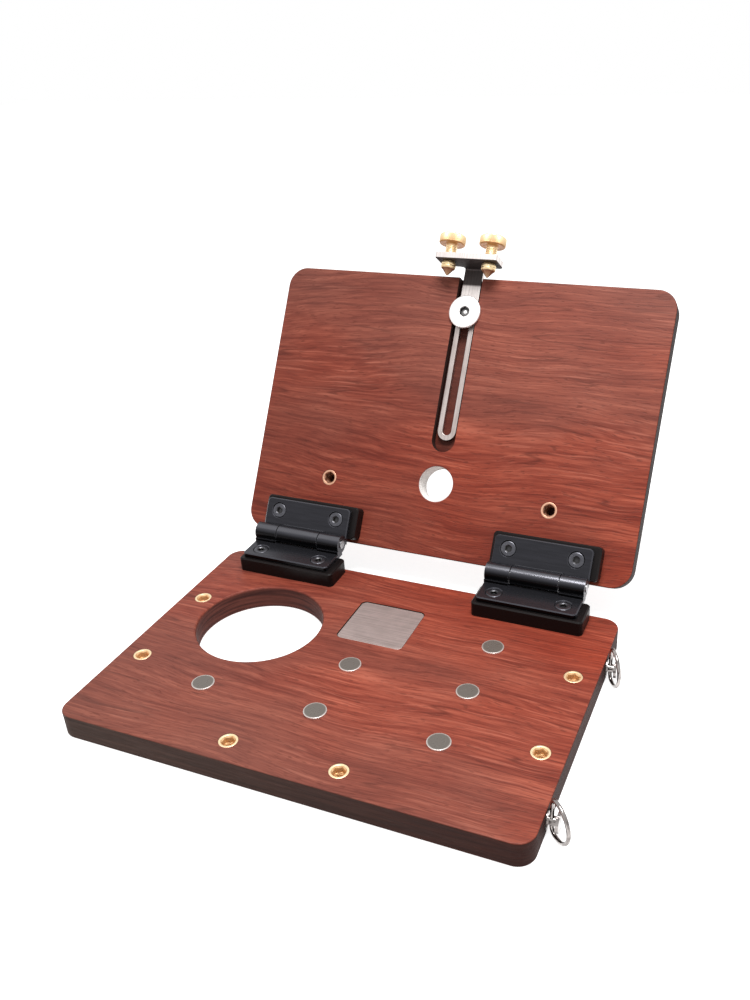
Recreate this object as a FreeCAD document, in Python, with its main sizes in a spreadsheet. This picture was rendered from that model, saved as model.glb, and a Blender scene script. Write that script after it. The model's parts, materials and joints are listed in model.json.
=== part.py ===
import FreeCAD, Part
import Sketcher
import math
import os
from FreeCAD import Placement, Rotation, Vector

# Folding work board: two wooden boards on two friction hinges, with a sliding clamp on the upper board.
# The origin is at the middle of the lower board's underside, X to the right, Y to the back, Z up.
# The upper board's pieces are drawn in a frame of their own, with its origin at the middle of the edge
# beside the hinges: X to the right, Y up the board and Z out of its front face.

# Driving dimensions, in millimetres and degrees
SIZES = {
    # Both boards
    "board_width": 250.0,
    "board_depth": 172.0,
    "board_thickness": 14.0,
    "lower_corner": 9.0,
    "upper_corner": 12.0,
    "board_edge_round": 0.8,
    "opening_angle": 122.6,
    # Cup hole, magnets and blank plate in the lower board
    "cup_hole": 72.0,
    "cup_aside": 0.8,
    "cup_behind": 6.3,
    "cup_rim_round": 1.5,
    "magnet_dia": 12.0,
    "magnet_height": 11.0,
    "magnet_proud": 1.0,
    "magnet_rim_round": 0.6,
    "magnet_from_side": 59.0,
    "magnet_from_front": 46.0,
    "magnet_from_back": 47.0,
    "plate_width": 39.0,
    "plate_depth": 36.5,
    "plate_thickness": 3.0,
    "plate_corner": 3.0,
    "plate_edge_round": 0.3,
    "plate_sunk": 0.3,
    "plate_gap": 0.35,
    # Brass threaded inserts
    "insert_head": 9.8,
    "insert_head_height": 1.2,
    "insert_body": 8.4,
    "insert_floor": 2.0,
    "insert_bore": 5.0,
    "insert_hex": 6.0,
    "insert_hex_deep": 4.0,
    "side_insert_from_side": 12.5,
    "side_insert_from_front": 56.2,
    "side_insert_from_back": 56.6,
    "front_insert_across": 29.8,
    "front_insert_from_front": 13.1,
    "upper_insert_from_side": 53.0,
    "upper_insert_up": 38.5,
    # Hinges, measured from each board's hinge edge and face
    "hinge_from_side": 49.0,
    "block_length": 64.0,
    "block_depth": 20.0,
    "block_height": 8.8,
    "block_setback": 2.0,
    "block_corner": 2.5,
    "block_chamfer": 0.7,
    "leaf_length": 58.0,
    "leaf_thickness": 3.0,
    "leaf_end_margin": 2.0,
    "leaf_corner": 2.5,
    "leaf_chamfer": 0.5,
    "leaf_aside": 1.0,
    "leaf_under_barrel": 1.7,
    "axis_beyond_edge": 2.0,
    "axis_over_leaf": 4.1,
    "knuckle_dia": 11.0,
    "knuckle_middle": 28.0,
    "knuckle_gap": 0.6,
    "knuckle_sweep_gap": 0.4,
    "tang_reach": 4.0,
    "tang_rise": 1.7,
    "pin_dia": 5.0,
    "pin_proud": 0.5,
    "sleeve_wall": 0.8,
    # Countersunk screws of the hinges
    "screw_spacing": 40.0,
    "screw_from_edge": 12.5,
    "screw_dia": 5.0,
    "screw_head": 10.0,
    "screw_head_height": 2.5,
    "screw_length": 20.0,
    "screw_hex": 3.2,
    "screw_hex_deep": 1.9,
    # Strap studs and rings on the right edge
    "stud_from_front": 24.0,
    "stud_from_back": 35.0,
    "stud_height": 7.5,
    "stud_dia": 4.4,
    "stud_anchor": 12.0,
    "stud_flange": 9.6,
    "stud_flange_thick": 0.7,
    "stud_head": 9.6,
    "stud_head_thick": 1.5,
    "stud_head_out": 4.4,
    "ring_wire": 2.0,
    "ring_pivot_out": 2.0,
    "ring_hole_play": 0.15,
    "ring_reach": 14.0,
    "ring_bow": 10.0,
    "ring_corner": 3.4,
    "ring_centre_height": 11.1,
    "front_ring_turn": 315.0,
    "rear_ring_turn": 300.0,
    # Upper board: round hole, groove and slider
    "peg_hole": 21.5,
    "peg_hole_up": 44.2,
    "peg_rim_round": 0.8,
    "groove_side_gap": 1.5,
    "groove_depth": 6.5,
    "groove_end_up": 64.0,
    "slider_width": 12.0,
    "slider_thick": 3.5,
    "slider_end_up": 71.7,
    "slot_play": 0.6,
    "slot_low_up": 75.0,
    "slot_high_over_screw": 9.4,
    "head_rise": 6.25,
    "head_width": 39.0,
    "head_reach": 16.3,
    "head_rear_corner": 3.0,
    "head_neck_fillet": 2.5,
    "head_front_corner": 1.2,
    "bend_inside": 1.0,
    "slider_edge_round": 0.3,
    # Lock screw and its threaded insert
    "lock_from_top": 21.5,
    "lock_head": 20.0,
    "lock_head_thick": 2.4,
    "lock_head_chamfer": 0.5,
    "lock_over_face": 0.15,
    "lock_collar": 10.5,
    "lock_over_slider": 0.1,
    "lock_shank": 5.0,
    "lock_hex": 5.5,
    "lock_hex_deep": 2.2,
    "lock_nut": 8.0,
    "lock_nut_floor": 1.5,
    # Thumbscrews and their swivel tips
    "thumb_across": 12.8,
    "thumb_out": 8.4,
    "thumb_head": 16.0,
    "thumb_head_height": 5.8,
    "thumb_head_chamfer": 0.6,
    "thumb_clear": 7.0,
    "thumb_shank": 7.2,
    "thumb_neck": 4.0,
    "thumb_neck_length": 3.0,
    "knurl_depth": 0.35,
    "knurl_count": 48,
    "tip_collar": 8.9,
    "tip_collar_height": 4.3,
    "tip_cone_base": 7.0,
    "tip_cone_end": 1.0,
    "tip_cone_length": 3.7,
    "tip_gap": 0.25,
    # Clearances
    "seat_gap": 0.05,
    "press_gap": 0.02,
    "run_gap": 0.05,
    "overrun": 2.0,
}


class Size:
    """A length or an angle: its value now, and the sheet formula that keeps it true."""

    def __init__(self, value, text):
        self.value = value
        self.text = text

    def join(self, sign, other, value):
        return Size(value, f"({self.text} {sign} {as_size(other).text})")

    def __add__(self, other):
        return self.join("+", other, self.value + as_size(other).value)

    def __sub__(self, other):
        return self.join("-", other, self.value - as_size(other).value)

    def __mul__(self, other):
        return self.join("*", other, self.value * as_size(other).value)

    def __truediv__(self, other):
        return self.join("/", other, self.value / as_size(other).value)

    def __neg__(self):
        return Size(-self.value, f"(-{self.text})")


def as_size(number):
    if isinstance(number, Size):
        return number
    return Size(float(number), repr(float(number)))


class Sheet:
    """The named sizes as attributes, such as dims.board_width."""


doc = FreeCAD.newDocument("folding_work_board")
spreadsheet = doc.addObject("Spreadsheet::Sheet", "Dims")
dims = Sheet()
for row, (size_name, size_value) in enumerate(SIZES.items(), start=1):
    spreadsheet.set(f"A{row}", size_name)
    spreadsheet.set(f"B{row}", str(size_value))
    spreadsheet.setAlias(f"B{row}", size_name)
    setattr(dims, size_name, Size(size_value, f"Dims.{size_name}"))
doc.recompute()

ZERO = as_size(0)
ALONG = {
    "z": Rotation(Vector(0, 0, 1), 0),
    "-z": Rotation(Vector(1, 0, 0), 180),
    "x": Rotation(Vector(0, 1, 0), 90),
    "y": Rotation(Vector(1, 0, 0), -90),
    "-y": Rotation(Vector(1, 0, 0), 90),
}
nodes = []


# Binding to the sheet

def bind(thing, **sizes):
    for prop, size in sizes.items():
        thing.setExpression(prop, as_size(size).text)


def place(thing, x, y, z, along="z"):
    """Puts a thing's own origin at x, y, z and turns its Z axis along the named direction."""
    spot = [as_size(x), as_size(y), as_size(z)]
    thing.Placement = Placement(Vector(*[s.value for s in spot]), ALONG[along])
    for letter, size in zip("xyz", spot):
        thing.setExpression(f"Placement.Base.{letter}", size.text)
    return thing


# Plain solids

def cylinder(name, radius, height, x, y, z, along="z"):
    thing = doc.addObject("Part::Cylinder", name)
    bind(thing, Radius=radius, Height=height)
    return place(thing, x, y, z, along)


def cone(name, radius1, radius2, height, x, y, z, along="z"):
    thing = doc.addObject("Part::Cone", name)
    bind(thing, Radius1=radius1, Radius2=radius2, Height=height)
    return place(thing, x, y, z, along)


def hexagon(name, across_flats, height, x, y, z, along="z"):
    thing = doc.addObject("Part::Prism", name)
    thing.Polygon = 6
    bind(thing, Circumradius=across_flats / math.sqrt(3), Height=height)
    return place(thing, x, y, z, along)


def fuse(name, things):
    thing = doc.addObject("Part::MultiFuse", name)
    thing.Shapes = things
    return thing


def cut(name, base, tool):
    thing = doc.addObject("Part::Cut", name)
    thing.Base = base
    thing.Tool = tool
    return thing


def compound(name, things):
    thing = doc.addObject("Part::Compound", name)
    thing.Links = things
    return thing


# Bodies made of sketches and features

def new_body(name):
    return doc.addObject("PartDesign::Body", name)


def new_sketch(body, name, role="XY_Plane", offset=ZERO):
    """A sketch on one of the body's own planes, moved along the plane's normal by offset."""
    sketch = body.newObject("Sketcher::SketchObject", name)
    plane = [part for part in body.Origin.OriginFeatures if part.Role == role][0]
    sketch.AttachmentSupport = (plane, [""])
    sketch.MapMode = "FlatFace"
    sketch.setExpression("AttachmentOffset.Base.z", offset.text)
    return sketch


def hold(sketch, kind, *places, size=None):
    """Adds a constraint and binds its size to the sheet."""
    if size is None:
        return sketch.addConstraint(Sketcher.Constraint(kind, *places))
    size = as_size(size)
    index = sketch.addConstraint(Sketcher.Constraint(kind, *places, size.value))
    sketch.setExpression(f"Constraints[{index}]", size.text)
    return index


def pin_point(sketch, line, end, x, y):
    hold(sketch, "DistanceX", -1, 1, line, end, size=x)
    hold(sketch, "DistanceY", -1, 1, line, end, size=y)


def draw_polygon(sketch, corners):
    """A closed outline through corners, each held at its own place."""
    corners = [(as_size(x), as_size(y)) for x, y in corners]
    first = len(sketch.Geometry)
    for here, there in zip(corners, corners[1:] + corners[:1]):
        start = Vector(here[0].value, here[1].value, 0)
        end = Vector(there[0].value, there[1].value, 0)
        sketch.addGeometry(Part.LineSegment(start, end), False)
    for index in range(len(corners)):
        hold(sketch, "Coincident", first + index, 2, first + (index + 1) % len(corners), 1)
    for index, (x, y) in enumerate(corners):
        pin_point(sketch, first + index, 1, x, y)


def draw_box(sketch, x0, y0, x1, y1):
    draw_polygon(sketch, [(x0, y0), (x1, y0), (x1, y1), (x0, y1)])


def draw_circle(sketch, x, y, radius):
    x, y, radius = as_size(x), as_size(y), as_size(radius)
    circle = Part.Circle(Vector(x.value, y.value, 0), Vector(0, 0, 1), radius.value)
    index = sketch.addGeometry(circle, False)
    hold(sketch, "Radius", index, size=radius)
    pin_point(sketch, index, 3, x, y)


def draw_round_strip(sketch, low, high, radius, round_top):
    """An upright strip on the Y axis: its lower end is round, and its upper end round or square."""
    low, high, radius = as_size(low), as_size(high), as_size(radius)
    centre = low + radius
    top = high - radius if round_top else high
    normal = Vector(0, 0, 1)
    right = Vector(radius.value, 0, 0)
    bottom_middle = Vector(0, centre.value, 0)
    top_middle = Vector(0, top.value, 0)
    below = Part.Circle(bottom_middle, normal, radius.value)
    sketch.addGeometry(Part.ArcOfCircle(below, math.pi, 2 * math.pi), False)
    sketch.addGeometry(Part.LineSegment(bottom_middle + right, top_middle + right), False)
    if round_top:
        above = Part.Circle(top_middle, normal, radius.value)
        sketch.addGeometry(Part.ArcOfCircle(above, 0, math.pi), False)
    else:
        sketch.addGeometry(Part.LineSegment(top_middle + right, top_middle - right), False)
    sketch.addGeometry(Part.LineSegment(top_middle - right, bottom_middle - right), False)
    hold(sketch, "Coincident", 0, 2, 1, 1)
    hold(sketch, "Coincident", 1, 2, 2, 1)
    hold(sketch, "Coincident", 2, 2, 3, 1)
    hold(sketch, "Coincident", 3, 2, 0, 1)
    pin_point(sketch, 1, 1, radius, centre)
    pin_point(sketch, 1, 2, radius, top)
    pin_point(sketch, 3, 1, -radius, top)
    pin_point(sketch, 3, 2, -radius, centre)
    hold(sketch, "DistanceY", -1, 1, 0, 3, size=centre)
    if round_top:
        hold(sketch, "DistanceY", -1, 1, 2, 3, size=top)


def pad(body, name, sketch, length):
    feature = body.newObject("PartDesign::Pad", name)
    feature.Profile = sketch
    bind(feature, Length=length)
    doc.recompute()
    return feature


def pocket(body, name, sketch, depth):
    """Cuts from the sketch against its normal, and checks that something was cut."""
    before = body.Shape.Volume
    feature = body.newObject("PartDesign::Pocket", name)
    feature.Profile = sketch
    bind(feature, Length=depth)
    doc.recompute()
    if not body.Shape.Volume < before:
        raise RuntimeError(f"{body.Name}.{name} cut nothing")
    return feature


def body_solid(body, kind, name, **sizes):
    thing = body.newObject(f"PartDesign::{kind}", name)
    bind(thing, **sizes)
    return thing


def soften(body, name, kind, size, wanted):
    """A fillet or a chamfer of the body's last feature, on the edges that wanted picks."""
    base = body.Tip
    picked = [f"Edge{index}" for index, edge in enumerate(base.Shape.Edges, start=1) if wanted(edge)]
    if not picked:
        raise RuntimeError(f"{body.Name}.{name} found no edge")
    feature = body.newObject(f"PartDesign::{kind}", name)
    feature.Base = (base, picked)
    bind(feature, **{"Radius" if kind == "Fillet" else "Size": size})
    doc.recompute()
    return feature


def near(value, size):
    return abs(value - as_size(size).value) < 1e-4


def edge_ends(edge):
    return [edge.valueAt(edge.FirstParameter), edge.valueAt(edge.LastParameter)]


def upright(edge):
    start, end = edge_ends(edge)
    return near(start.x, end.x) and near(start.y, end.y) and not near(start.z, end.z)


def level_at(height):
    """Picks edges that lie wholly at one height."""
    return lambda edge: edge.BoundBox.ZLength < 1e-4 and near(edge.BoundBox.ZMin, height)


# What ends up as a file

def on_lid(thing):
    """Moves a piece from the upper board's own frame to where the lid stands."""
    lean = as_size(180) - dims.opening_angle
    beyond = dims.axis_beyond_edge
    over = AXIS_OVER_FACE
    angle = math.radians(lean.value)
    cosine = Size(math.cos(angle), f"cos({lean.text} * 1deg)")
    sine = Size(math.sin(angle), f"sin({lean.text} * 1deg)")
    thing.Placement = Placement(Vector(0, 0, 0), Rotation(Vector(1, 0, 0), lean.value))
    y = dims.board_depth / 2 + beyond + beyond * cosine + over * sine
    z = dims.board_thickness + over + beyond * sine - over * cosine
    thing.setExpression("Placement.Base.y", y.text)
    thing.setExpression("Placement.Base.z", z.text)
    thing.setExpression("Placement.Rotation.Angle", lean.text)
    return thing


def at_back_edge(thing):
    """Moves a piece from a hinge's own frame to the lower board's back edge, turned half round."""
    thing.Placement = Placement(Vector(0, 0, 0), Rotation(Vector(0, 0, 1), 180))
    thing.setExpression("Placement.Base.y", (dims.board_depth / 2).text)
    thing.setExpression("Placement.Base.z", dims.board_thickness.text)
    return thing


def node(thing, label):
    thing.Label = label
    nodes.append(thing)
    return thing


# Where things lie on the boards

FRONT = -dims.board_depth / 2
BACK = dims.board_depth / 2
TOP = dims.board_thickness
HALF_WIDTH = dims.board_width / 2
AXIS_OVER_FACE = dims.block_height + dims.leaf_thickness + dims.axis_over_leaf
FIRST_ROW = FRONT + dims.magnet_from_front
LAST_ROW = BACK - dims.magnet_from_back
MAGNET_ROWS = [FIRST_ROW, (FIRST_ROW + LAST_ROW) / 2, LAST_ROW]
MAGNET_COLUMNS = [dims.magnet_from_side - HALF_WIDTH, ZERO, HALF_WIDTH - dims.magnet_from_side]
# The grid's two back left places are taken by the cup hole, and its back middle by the plate
MAGNET_SPOTS = [
    (MAGNET_COLUMNS[0], MAGNET_ROWS[0]),
    (MAGNET_COLUMNS[1], MAGNET_ROWS[0]),
    (MAGNET_COLUMNS[2], MAGNET_ROWS[0]),
    (MAGNET_COLUMNS[1], MAGNET_ROWS[1]),
    (MAGNET_COLUMNS[2], MAGNET_ROWS[1]),
    (MAGNET_COLUMNS[2], MAGNET_ROWS[2]),
]
PLATE_MIDDLE = LAST_ROW
SIDE_COLUMN = HALF_WIDTH - dims.side_insert_from_side
SIDE_SPOTS = [
    (side, row)
    for side in (-SIDE_COLUMN, SIDE_COLUMN)
    for row in (FRONT + dims.side_insert_from_front, BACK - dims.side_insert_from_back)
]
FRONT_SPOTS = [
    (side, FRONT + dims.front_insert_from_front)
    for side in (-dims.front_insert_across, dims.front_insert_across)
]
UPPER_COLUMN = HALF_WIDTH - dims.upper_insert_from_side
UPPER_SPOTS = [(side, dims.upper_insert_up) for side in (-UPPER_COLUMN, UPPER_COLUMN)]
STUD_SPOTS = {"front": FRONT + dims.stud_from_front, "rear": BACK - dims.stud_from_back}
HINGE_COLUMN = HALF_WIDTH - dims.hinge_from_side
HINGE_MIDDLES = {"left": -HINGE_COLUMN, "right": HINGE_COLUMN}
BLOCK_FRONT = BACK - dims.block_setback - dims.block_depth
# The cup hole lies about midway from the plate to the side inserts, and from the first row to the hinge block
CUP_SPOT = (
    -(SIDE_COLUMN + dims.plate_width / 2) / 2 - dims.cup_aside,
    (FIRST_ROW + BLOCK_FRONT) / 2 + dims.cup_behind,
)
INSERT_LENGTH = dims.board_thickness - dims.insert_floor
LOCK_UP = dims.board_depth - dims.lock_from_top
LOCK_NUT_LENGTH = dims.board_thickness - dims.groove_depth - dims.lock_nut_floor


# The two boards

def board_slab(name, low_y, low_z, corner):
    """A rounded rectangle of board, with its long edges eased."""
    body = new_body(name)
    sketch = new_sketch(body, f"{name}_outline", offset=as_size(low_z))
    draw_box(sketch, -HALF_WIDTH, low_y, HALF_WIDTH, as_size(low_y) + dims.board_depth)
    pad(body, f"{name}_slab", sketch, dims.board_thickness)
    soften(body, f"{name}_corners", "Fillet", corner, upright)
    soften(body, f"{name}_eased_edges", "Fillet", dims.board_edge_round, lambda edge: not upright(edge))
    return body


def round_pockets(body, name, top, spots, radius, depth):
    sketch = new_sketch(body, f"{name}_outline", offset=as_size(top))
    for x, y in spots:
        draw_circle(sketch, x, y, radius)
    pocket(body, name, sketch, depth)


def insert_seats(body, name, top, spots):
    head_radius = dims.insert_head / 2 + dims.seat_gap
    body_radius = dims.insert_body / 2 + dims.seat_gap
    round_pockets(body, f"{name}_heads", top, spots, head_radius, dims.insert_head_height)
    round_pockets(body, f"{name}_bodies", top, spots, body_radius, INSERT_LENGTH + dims.seat_gap)


def screw_pilots(body, name, top, spots):
    depth = dims.screw_length - dims.leaf_thickness - dims.block_height + dims.seat_gap
    round_pockets(body, name, top, spots, dims.screw_dia / 2 + dims.seat_gap, depth)


def round_rims(body, name, radius, size, heights):
    """Rounds the rims of a bore, found by the bore's radius and the height of each rim."""
    def rim(edge):
        circle = edge.Curve
        if not isinstance(circle, Part.Circle):
            return False
        return near(circle.Radius, radius) and any(near(circle.Center.z, height) for height in heights)
    soften(body, name, "Fillet", size, rim)


def leaf_middle(side):
    """Where a hinge's leaf is centred: a little to the left of its block."""
    return HINGE_MIDDLES[side] - dims.leaf_aside


def screw_columns(side):
    middle = leaf_middle(side)
    return [middle - dims.screw_spacing / 2, middle + dims.screw_spacing / 2]


def make_lower_board():
    body = board_slab("lower_board", FRONT, ZERO, dims.lower_corner)
    insert_seats(body, "lower_insert_seats", TOP, SIDE_SPOTS + FRONT_SPOTS)
    through = dims.board_thickness + dims.overrun
    round_pockets(body, "cup_bore", TOP, [CUP_SPOT], dims.cup_hole / 2, through)
    round_rims(body, "cup_rims", dims.cup_hole / 2, dims.cup_rim_round, [ZERO, TOP])
    round_pockets(body, "magnet_seats", TOP, MAGNET_SPOTS, dims.magnet_dia / 2 + dims.seat_gap,
                  dims.magnet_height - dims.magnet_proud + dims.seat_gap)
    recess = new_sketch(body, "plate_recess_outline", offset=TOP)
    half_width = dims.plate_width / 2 + dims.plate_gap
    half_depth = dims.plate_depth / 2 + dims.plate_gap
    draw_box(recess, -half_width, PLATE_MIDDLE - half_depth, half_width, PLATE_MIDDLE + half_depth)
    pocket(body, "plate_recess", recess, dims.plate_thickness + dims.plate_sunk)

    def recess_corner(edge):
        start = edge_ends(edge)[0]
        beside = near(abs(start.x), half_width)
        behind = near(abs(start.y - PLATE_MIDDLE.value), half_depth)
        return upright(edge) and beside and behind
    soften(body, "plate_recess_corners", "Fillet", dims.plate_corner + dims.plate_gap, recess_corner)
    row = BACK - dims.screw_from_edge
    pilots = [(column, row) for side in HINGE_MIDDLES for column in screw_columns(side)]
    screw_pilots(body, "lower_screw_pilots", TOP, pilots)
    sketch = new_sketch(body, "stud_holes_outline", "YZ_Plane", HALF_WIDTH)
    for spot in STUD_SPOTS.values():
        draw_circle(sketch, spot, dims.stud_height, dims.stud_dia / 2 + dims.seat_gap)
    pocket(body, "stud_holes", sketch, dims.stud_anchor + dims.seat_gap)
    node(body, "lower_board")


def make_upper_board():
    body = board_slab("upper_board", ZERO, -dims.board_thickness, dims.upper_corner)
    through = dims.board_thickness + dims.overrun
    round_pockets(body, "peg_bore", ZERO, [(ZERO, dims.peg_hole_up)], dims.peg_hole / 2, through)
    faces = [ZERO, -dims.board_thickness]
    round_rims(body, "peg_rims", dims.peg_hole / 2, dims.peg_rim_round, faces)
    groove = new_sketch(body, "slider_groove_outline")
    groove_radius = dims.slider_width / 2 + dims.groove_side_gap
    draw_round_strip(groove, dims.groove_end_up, dims.board_depth + dims.overrun, groove_radius, False)
    pocket(body, "slider_groove", groove, dims.groove_depth)
    round_pockets(body, "lock_nut_seat", -dims.groove_depth, [(ZERO, LOCK_UP)],
                  dims.lock_nut / 2 + dims.seat_gap, LOCK_NUT_LENGTH + dims.seat_gap)
    insert_seats(body, "upper_insert_seats", ZERO, UPPER_SPOTS)
    pilots = [(column, dims.screw_from_edge) for side in HINGE_MIDDLES for column in screw_columns(side)]
    screw_pilots(body, "upper_screw_pilots", ZERO, pilots)
    node(on_lid(body), "upper_board")


# Pieces let into the boards

def threaded_inserts(name, spots, top):
    """Brass inserts flush with the face at height top: a head, a body, a hexagon socket and a bore."""
    head_radius, body_radius, bore_radius = dims.insert_head / 2, dims.insert_body / 2, dims.insert_bore / 2
    under_head = as_size(top) - dims.insert_head_height
    foot = as_size(top) - INSERT_LENGTH
    hex_floor = as_size(top) - dims.insert_hex_deep
    hex_height = dims.insert_hex_deep + dims.overrun
    bore_height = INSERT_LENGTH + dims.overrun * 2
    solids = []
    hollows = []
    for index, (x, y) in enumerate(spots):
        solids.append(cylinder(f"{name}_head_{index}", head_radius, dims.insert_head_height,
                               x, y, under_head))
        solids.append(cylinder(f"{name}_body_{index}", body_radius, under_head - foot, x, y, foot))
        hollows.append(hexagon(f"{name}_hex_{index}", dims.insert_hex, hex_height, x, y, hex_floor))
        hollows.append(cylinder(f"{name}_bore_{index}", bore_radius, bore_height, x, y, foot - dims.overrun))
    return cut(name, fuse(f"{name}_solids", solids), fuse(f"{name}_hollows", hollows))


def make_magnets():
    """Disc magnets that stand a little proud of the board, their upper rims rounded."""
    bodies = []
    for index, (x, y) in enumerate(MAGNET_SPOTS):
        top = TOP + dims.magnet_proud
        body = new_body(f"magnet_{index}")
        disc = body_solid(body, "AdditiveCylinder", f"magnet_disc_{index}",
                          Radius=dims.magnet_dia / 2, Height=dims.magnet_height)
        place(disc, x, y, top - dims.magnet_height)
        doc.recompute()
        soften(body, f"magnet_rim_{index}", "Fillet", dims.magnet_rim_round, level_at(top))
        bodies.append(body)
    node(compound("tray_magnets", bodies), "tray_magnets")


def make_blank_plate():
    body = new_body("blank_plate")
    top = TOP - dims.plate_sunk
    sketch = new_sketch(body, "blank_plate_outline", offset=top - dims.plate_thickness)
    draw_box(sketch, -dims.plate_width / 2, PLATE_MIDDLE - dims.plate_depth / 2,
             dims.plate_width / 2, PLATE_MIDDLE + dims.plate_depth / 2)
    pad(body, "blank_plate_slab", sketch, dims.plate_thickness)
    soften(body, "blank_plate_corners", "Fillet", dims.plate_corner, upright)
    soften(body, "blank_plate_eased_edge", "Fillet", dims.plate_edge_round, level_at(top))
    node(body, "blank_plate")


# The hinges, drawn from a board's hinge edge and face: Y runs onto the board and Z out of its face

def hinge_block(name, middle):
    """A spacer block between board and leaf, with two screw holes."""
    body = new_body(name)
    sketch = new_sketch(body, f"{name}_outline")
    draw_box(sketch, middle - dims.block_length / 2, dims.block_setback,
             middle + dims.block_length / 2, dims.block_setback + dims.block_depth)
    pad(body, f"{name}_slab", sketch, dims.block_height)
    soften(body, f"{name}_corners", "Fillet", dims.block_corner, upright)
    soften(body, f"{name}_bevel", "Chamfer", dims.block_chamfer, level_at(dims.block_height))
    return body


def drill_block(body, name, columns):
    spots = [(column, dims.screw_from_edge) for column in columns]
    round_pockets(body, f"{name}_screw_holes", dims.block_height, spots, dims.screw_dia / 2 + dims.seat_gap,
                  dims.block_height + dims.overrun)


def barrel_run(name, body, kind, radius, start, end):
    """A round bar along X on the hinge's axis, from start to end."""
    thing = body_solid(body, kind, name, Radius=radius, Height=end - start)
    place(thing, start, -dims.axis_beyond_edge, AXIS_OVER_FACE, "x")
    doc.recompute()


def hinge_leaf(name, middle, columns, own_runs, other_runs, bore):
    """A leaf on its block: a flat plate, tangs that rise to its own knuckles, and room for the others."""
    body = new_body(name)
    low = dims.block_height
    top = low + dims.leaf_thickness
    inner = dims.block_setback + dims.block_depth - dims.leaf_end_margin
    sketch = new_sketch(body, f"{name}_outline", offset=low)
    outer = -dims.leaf_under_barrel
    draw_box(sketch, middle - dims.leaf_length / 2, outer, middle + dims.leaf_length / 2, inner)
    pad(body, f"{name}_plate", sketch, dims.leaf_thickness)

    def free_corner(edge):
        return upright(edge) and near(edge_ends(edge)[0].y, inner)
    soften(body, f"{name}_corners", "Fillet", dims.leaf_corner, free_corner)
    soften(body, f"{name}_bevel", "Chamfer", dims.leaf_chamfer,
           lambda edge: level_at(top)(edge) and not near(edge.BoundBox.YMax, outer))
    for index, (start, end) in enumerate(own_runs):
        barrel_run(f"{name}_knuckle_{index}", body, "AdditiveCylinder", dims.knuckle_dia / 2, start, end)
        tang = body_solid(body, "AdditiveBox", f"{name}_tang_{index}", Length=end - start,
                          Width=dims.axis_beyond_edge + dims.tang_reach, Height=dims.leaf_thickness)
        place(tang, start, -dims.axis_beyond_edge, top + dims.tang_rise - dims.leaf_thickness)
        doc.recompute()
    for index, (start, end) in enumerate(other_runs):
        barrel_run(f"{name}_clear_{index}", body, "SubtractiveCylinder",
                   dims.knuckle_dia / 2 + dims.knuckle_sweep_gap, start, end)
    barrel_run(f"{name}_bore", body, "SubtractiveCylinder", bore,
               middle - dims.leaf_length / 2 - dims.overrun, middle + dims.leaf_length / 2 + dims.overrun)
    spots = [(column, dims.screw_from_edge) for column in columns]
    hole = dims.screw_dia / 2 + dims.seat_gap
    round_pockets(body, f"{name}_screw_holes", top, spots, hole, dims.leaf_thickness + dims.overrun)
    for index, (x, y) in enumerate(spots):
        sink = body_solid(body, "SubtractiveCone", f"{name}_countersink_{index}", Radius1=hole,
                          Radius2=dims.screw_head / 2 + dims.seat_gap, Height=dims.screw_head_height)
        place(sink, x, y, top - dims.screw_head_height)
        doc.recompute()
    return body


def hinge_screws(name, columns):
    """Two countersunk screws with hexagon sockets, their heads flush with the leaf."""
    solids = []
    sockets = []
    y = dims.screw_from_edge
    radius = dims.screw_dia / 2
    top = dims.block_height + dims.leaf_thickness
    under_head = top - dims.screw_head_height
    foot = top - dims.screw_length
    socket_height = dims.screw_hex_deep + dims.overrun
    for index, x in enumerate(columns):
        solids.append(cone(f"{name}_head_{index}", radius, dims.screw_head / 2, dims.screw_head_height,
                           x, y, under_head))
        solids.append(cylinder(f"{name}_shank_{index}", radius, under_head - foot, x, y, foot))
        sockets.append(hexagon(f"{name}_socket_{index}", dims.screw_hex, socket_height,
                               x, y, top - dims.screw_hex_deep))
    return cut(name, fuse(f"{name}_solids", solids), fuse(f"{name}_sockets", sockets))


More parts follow.
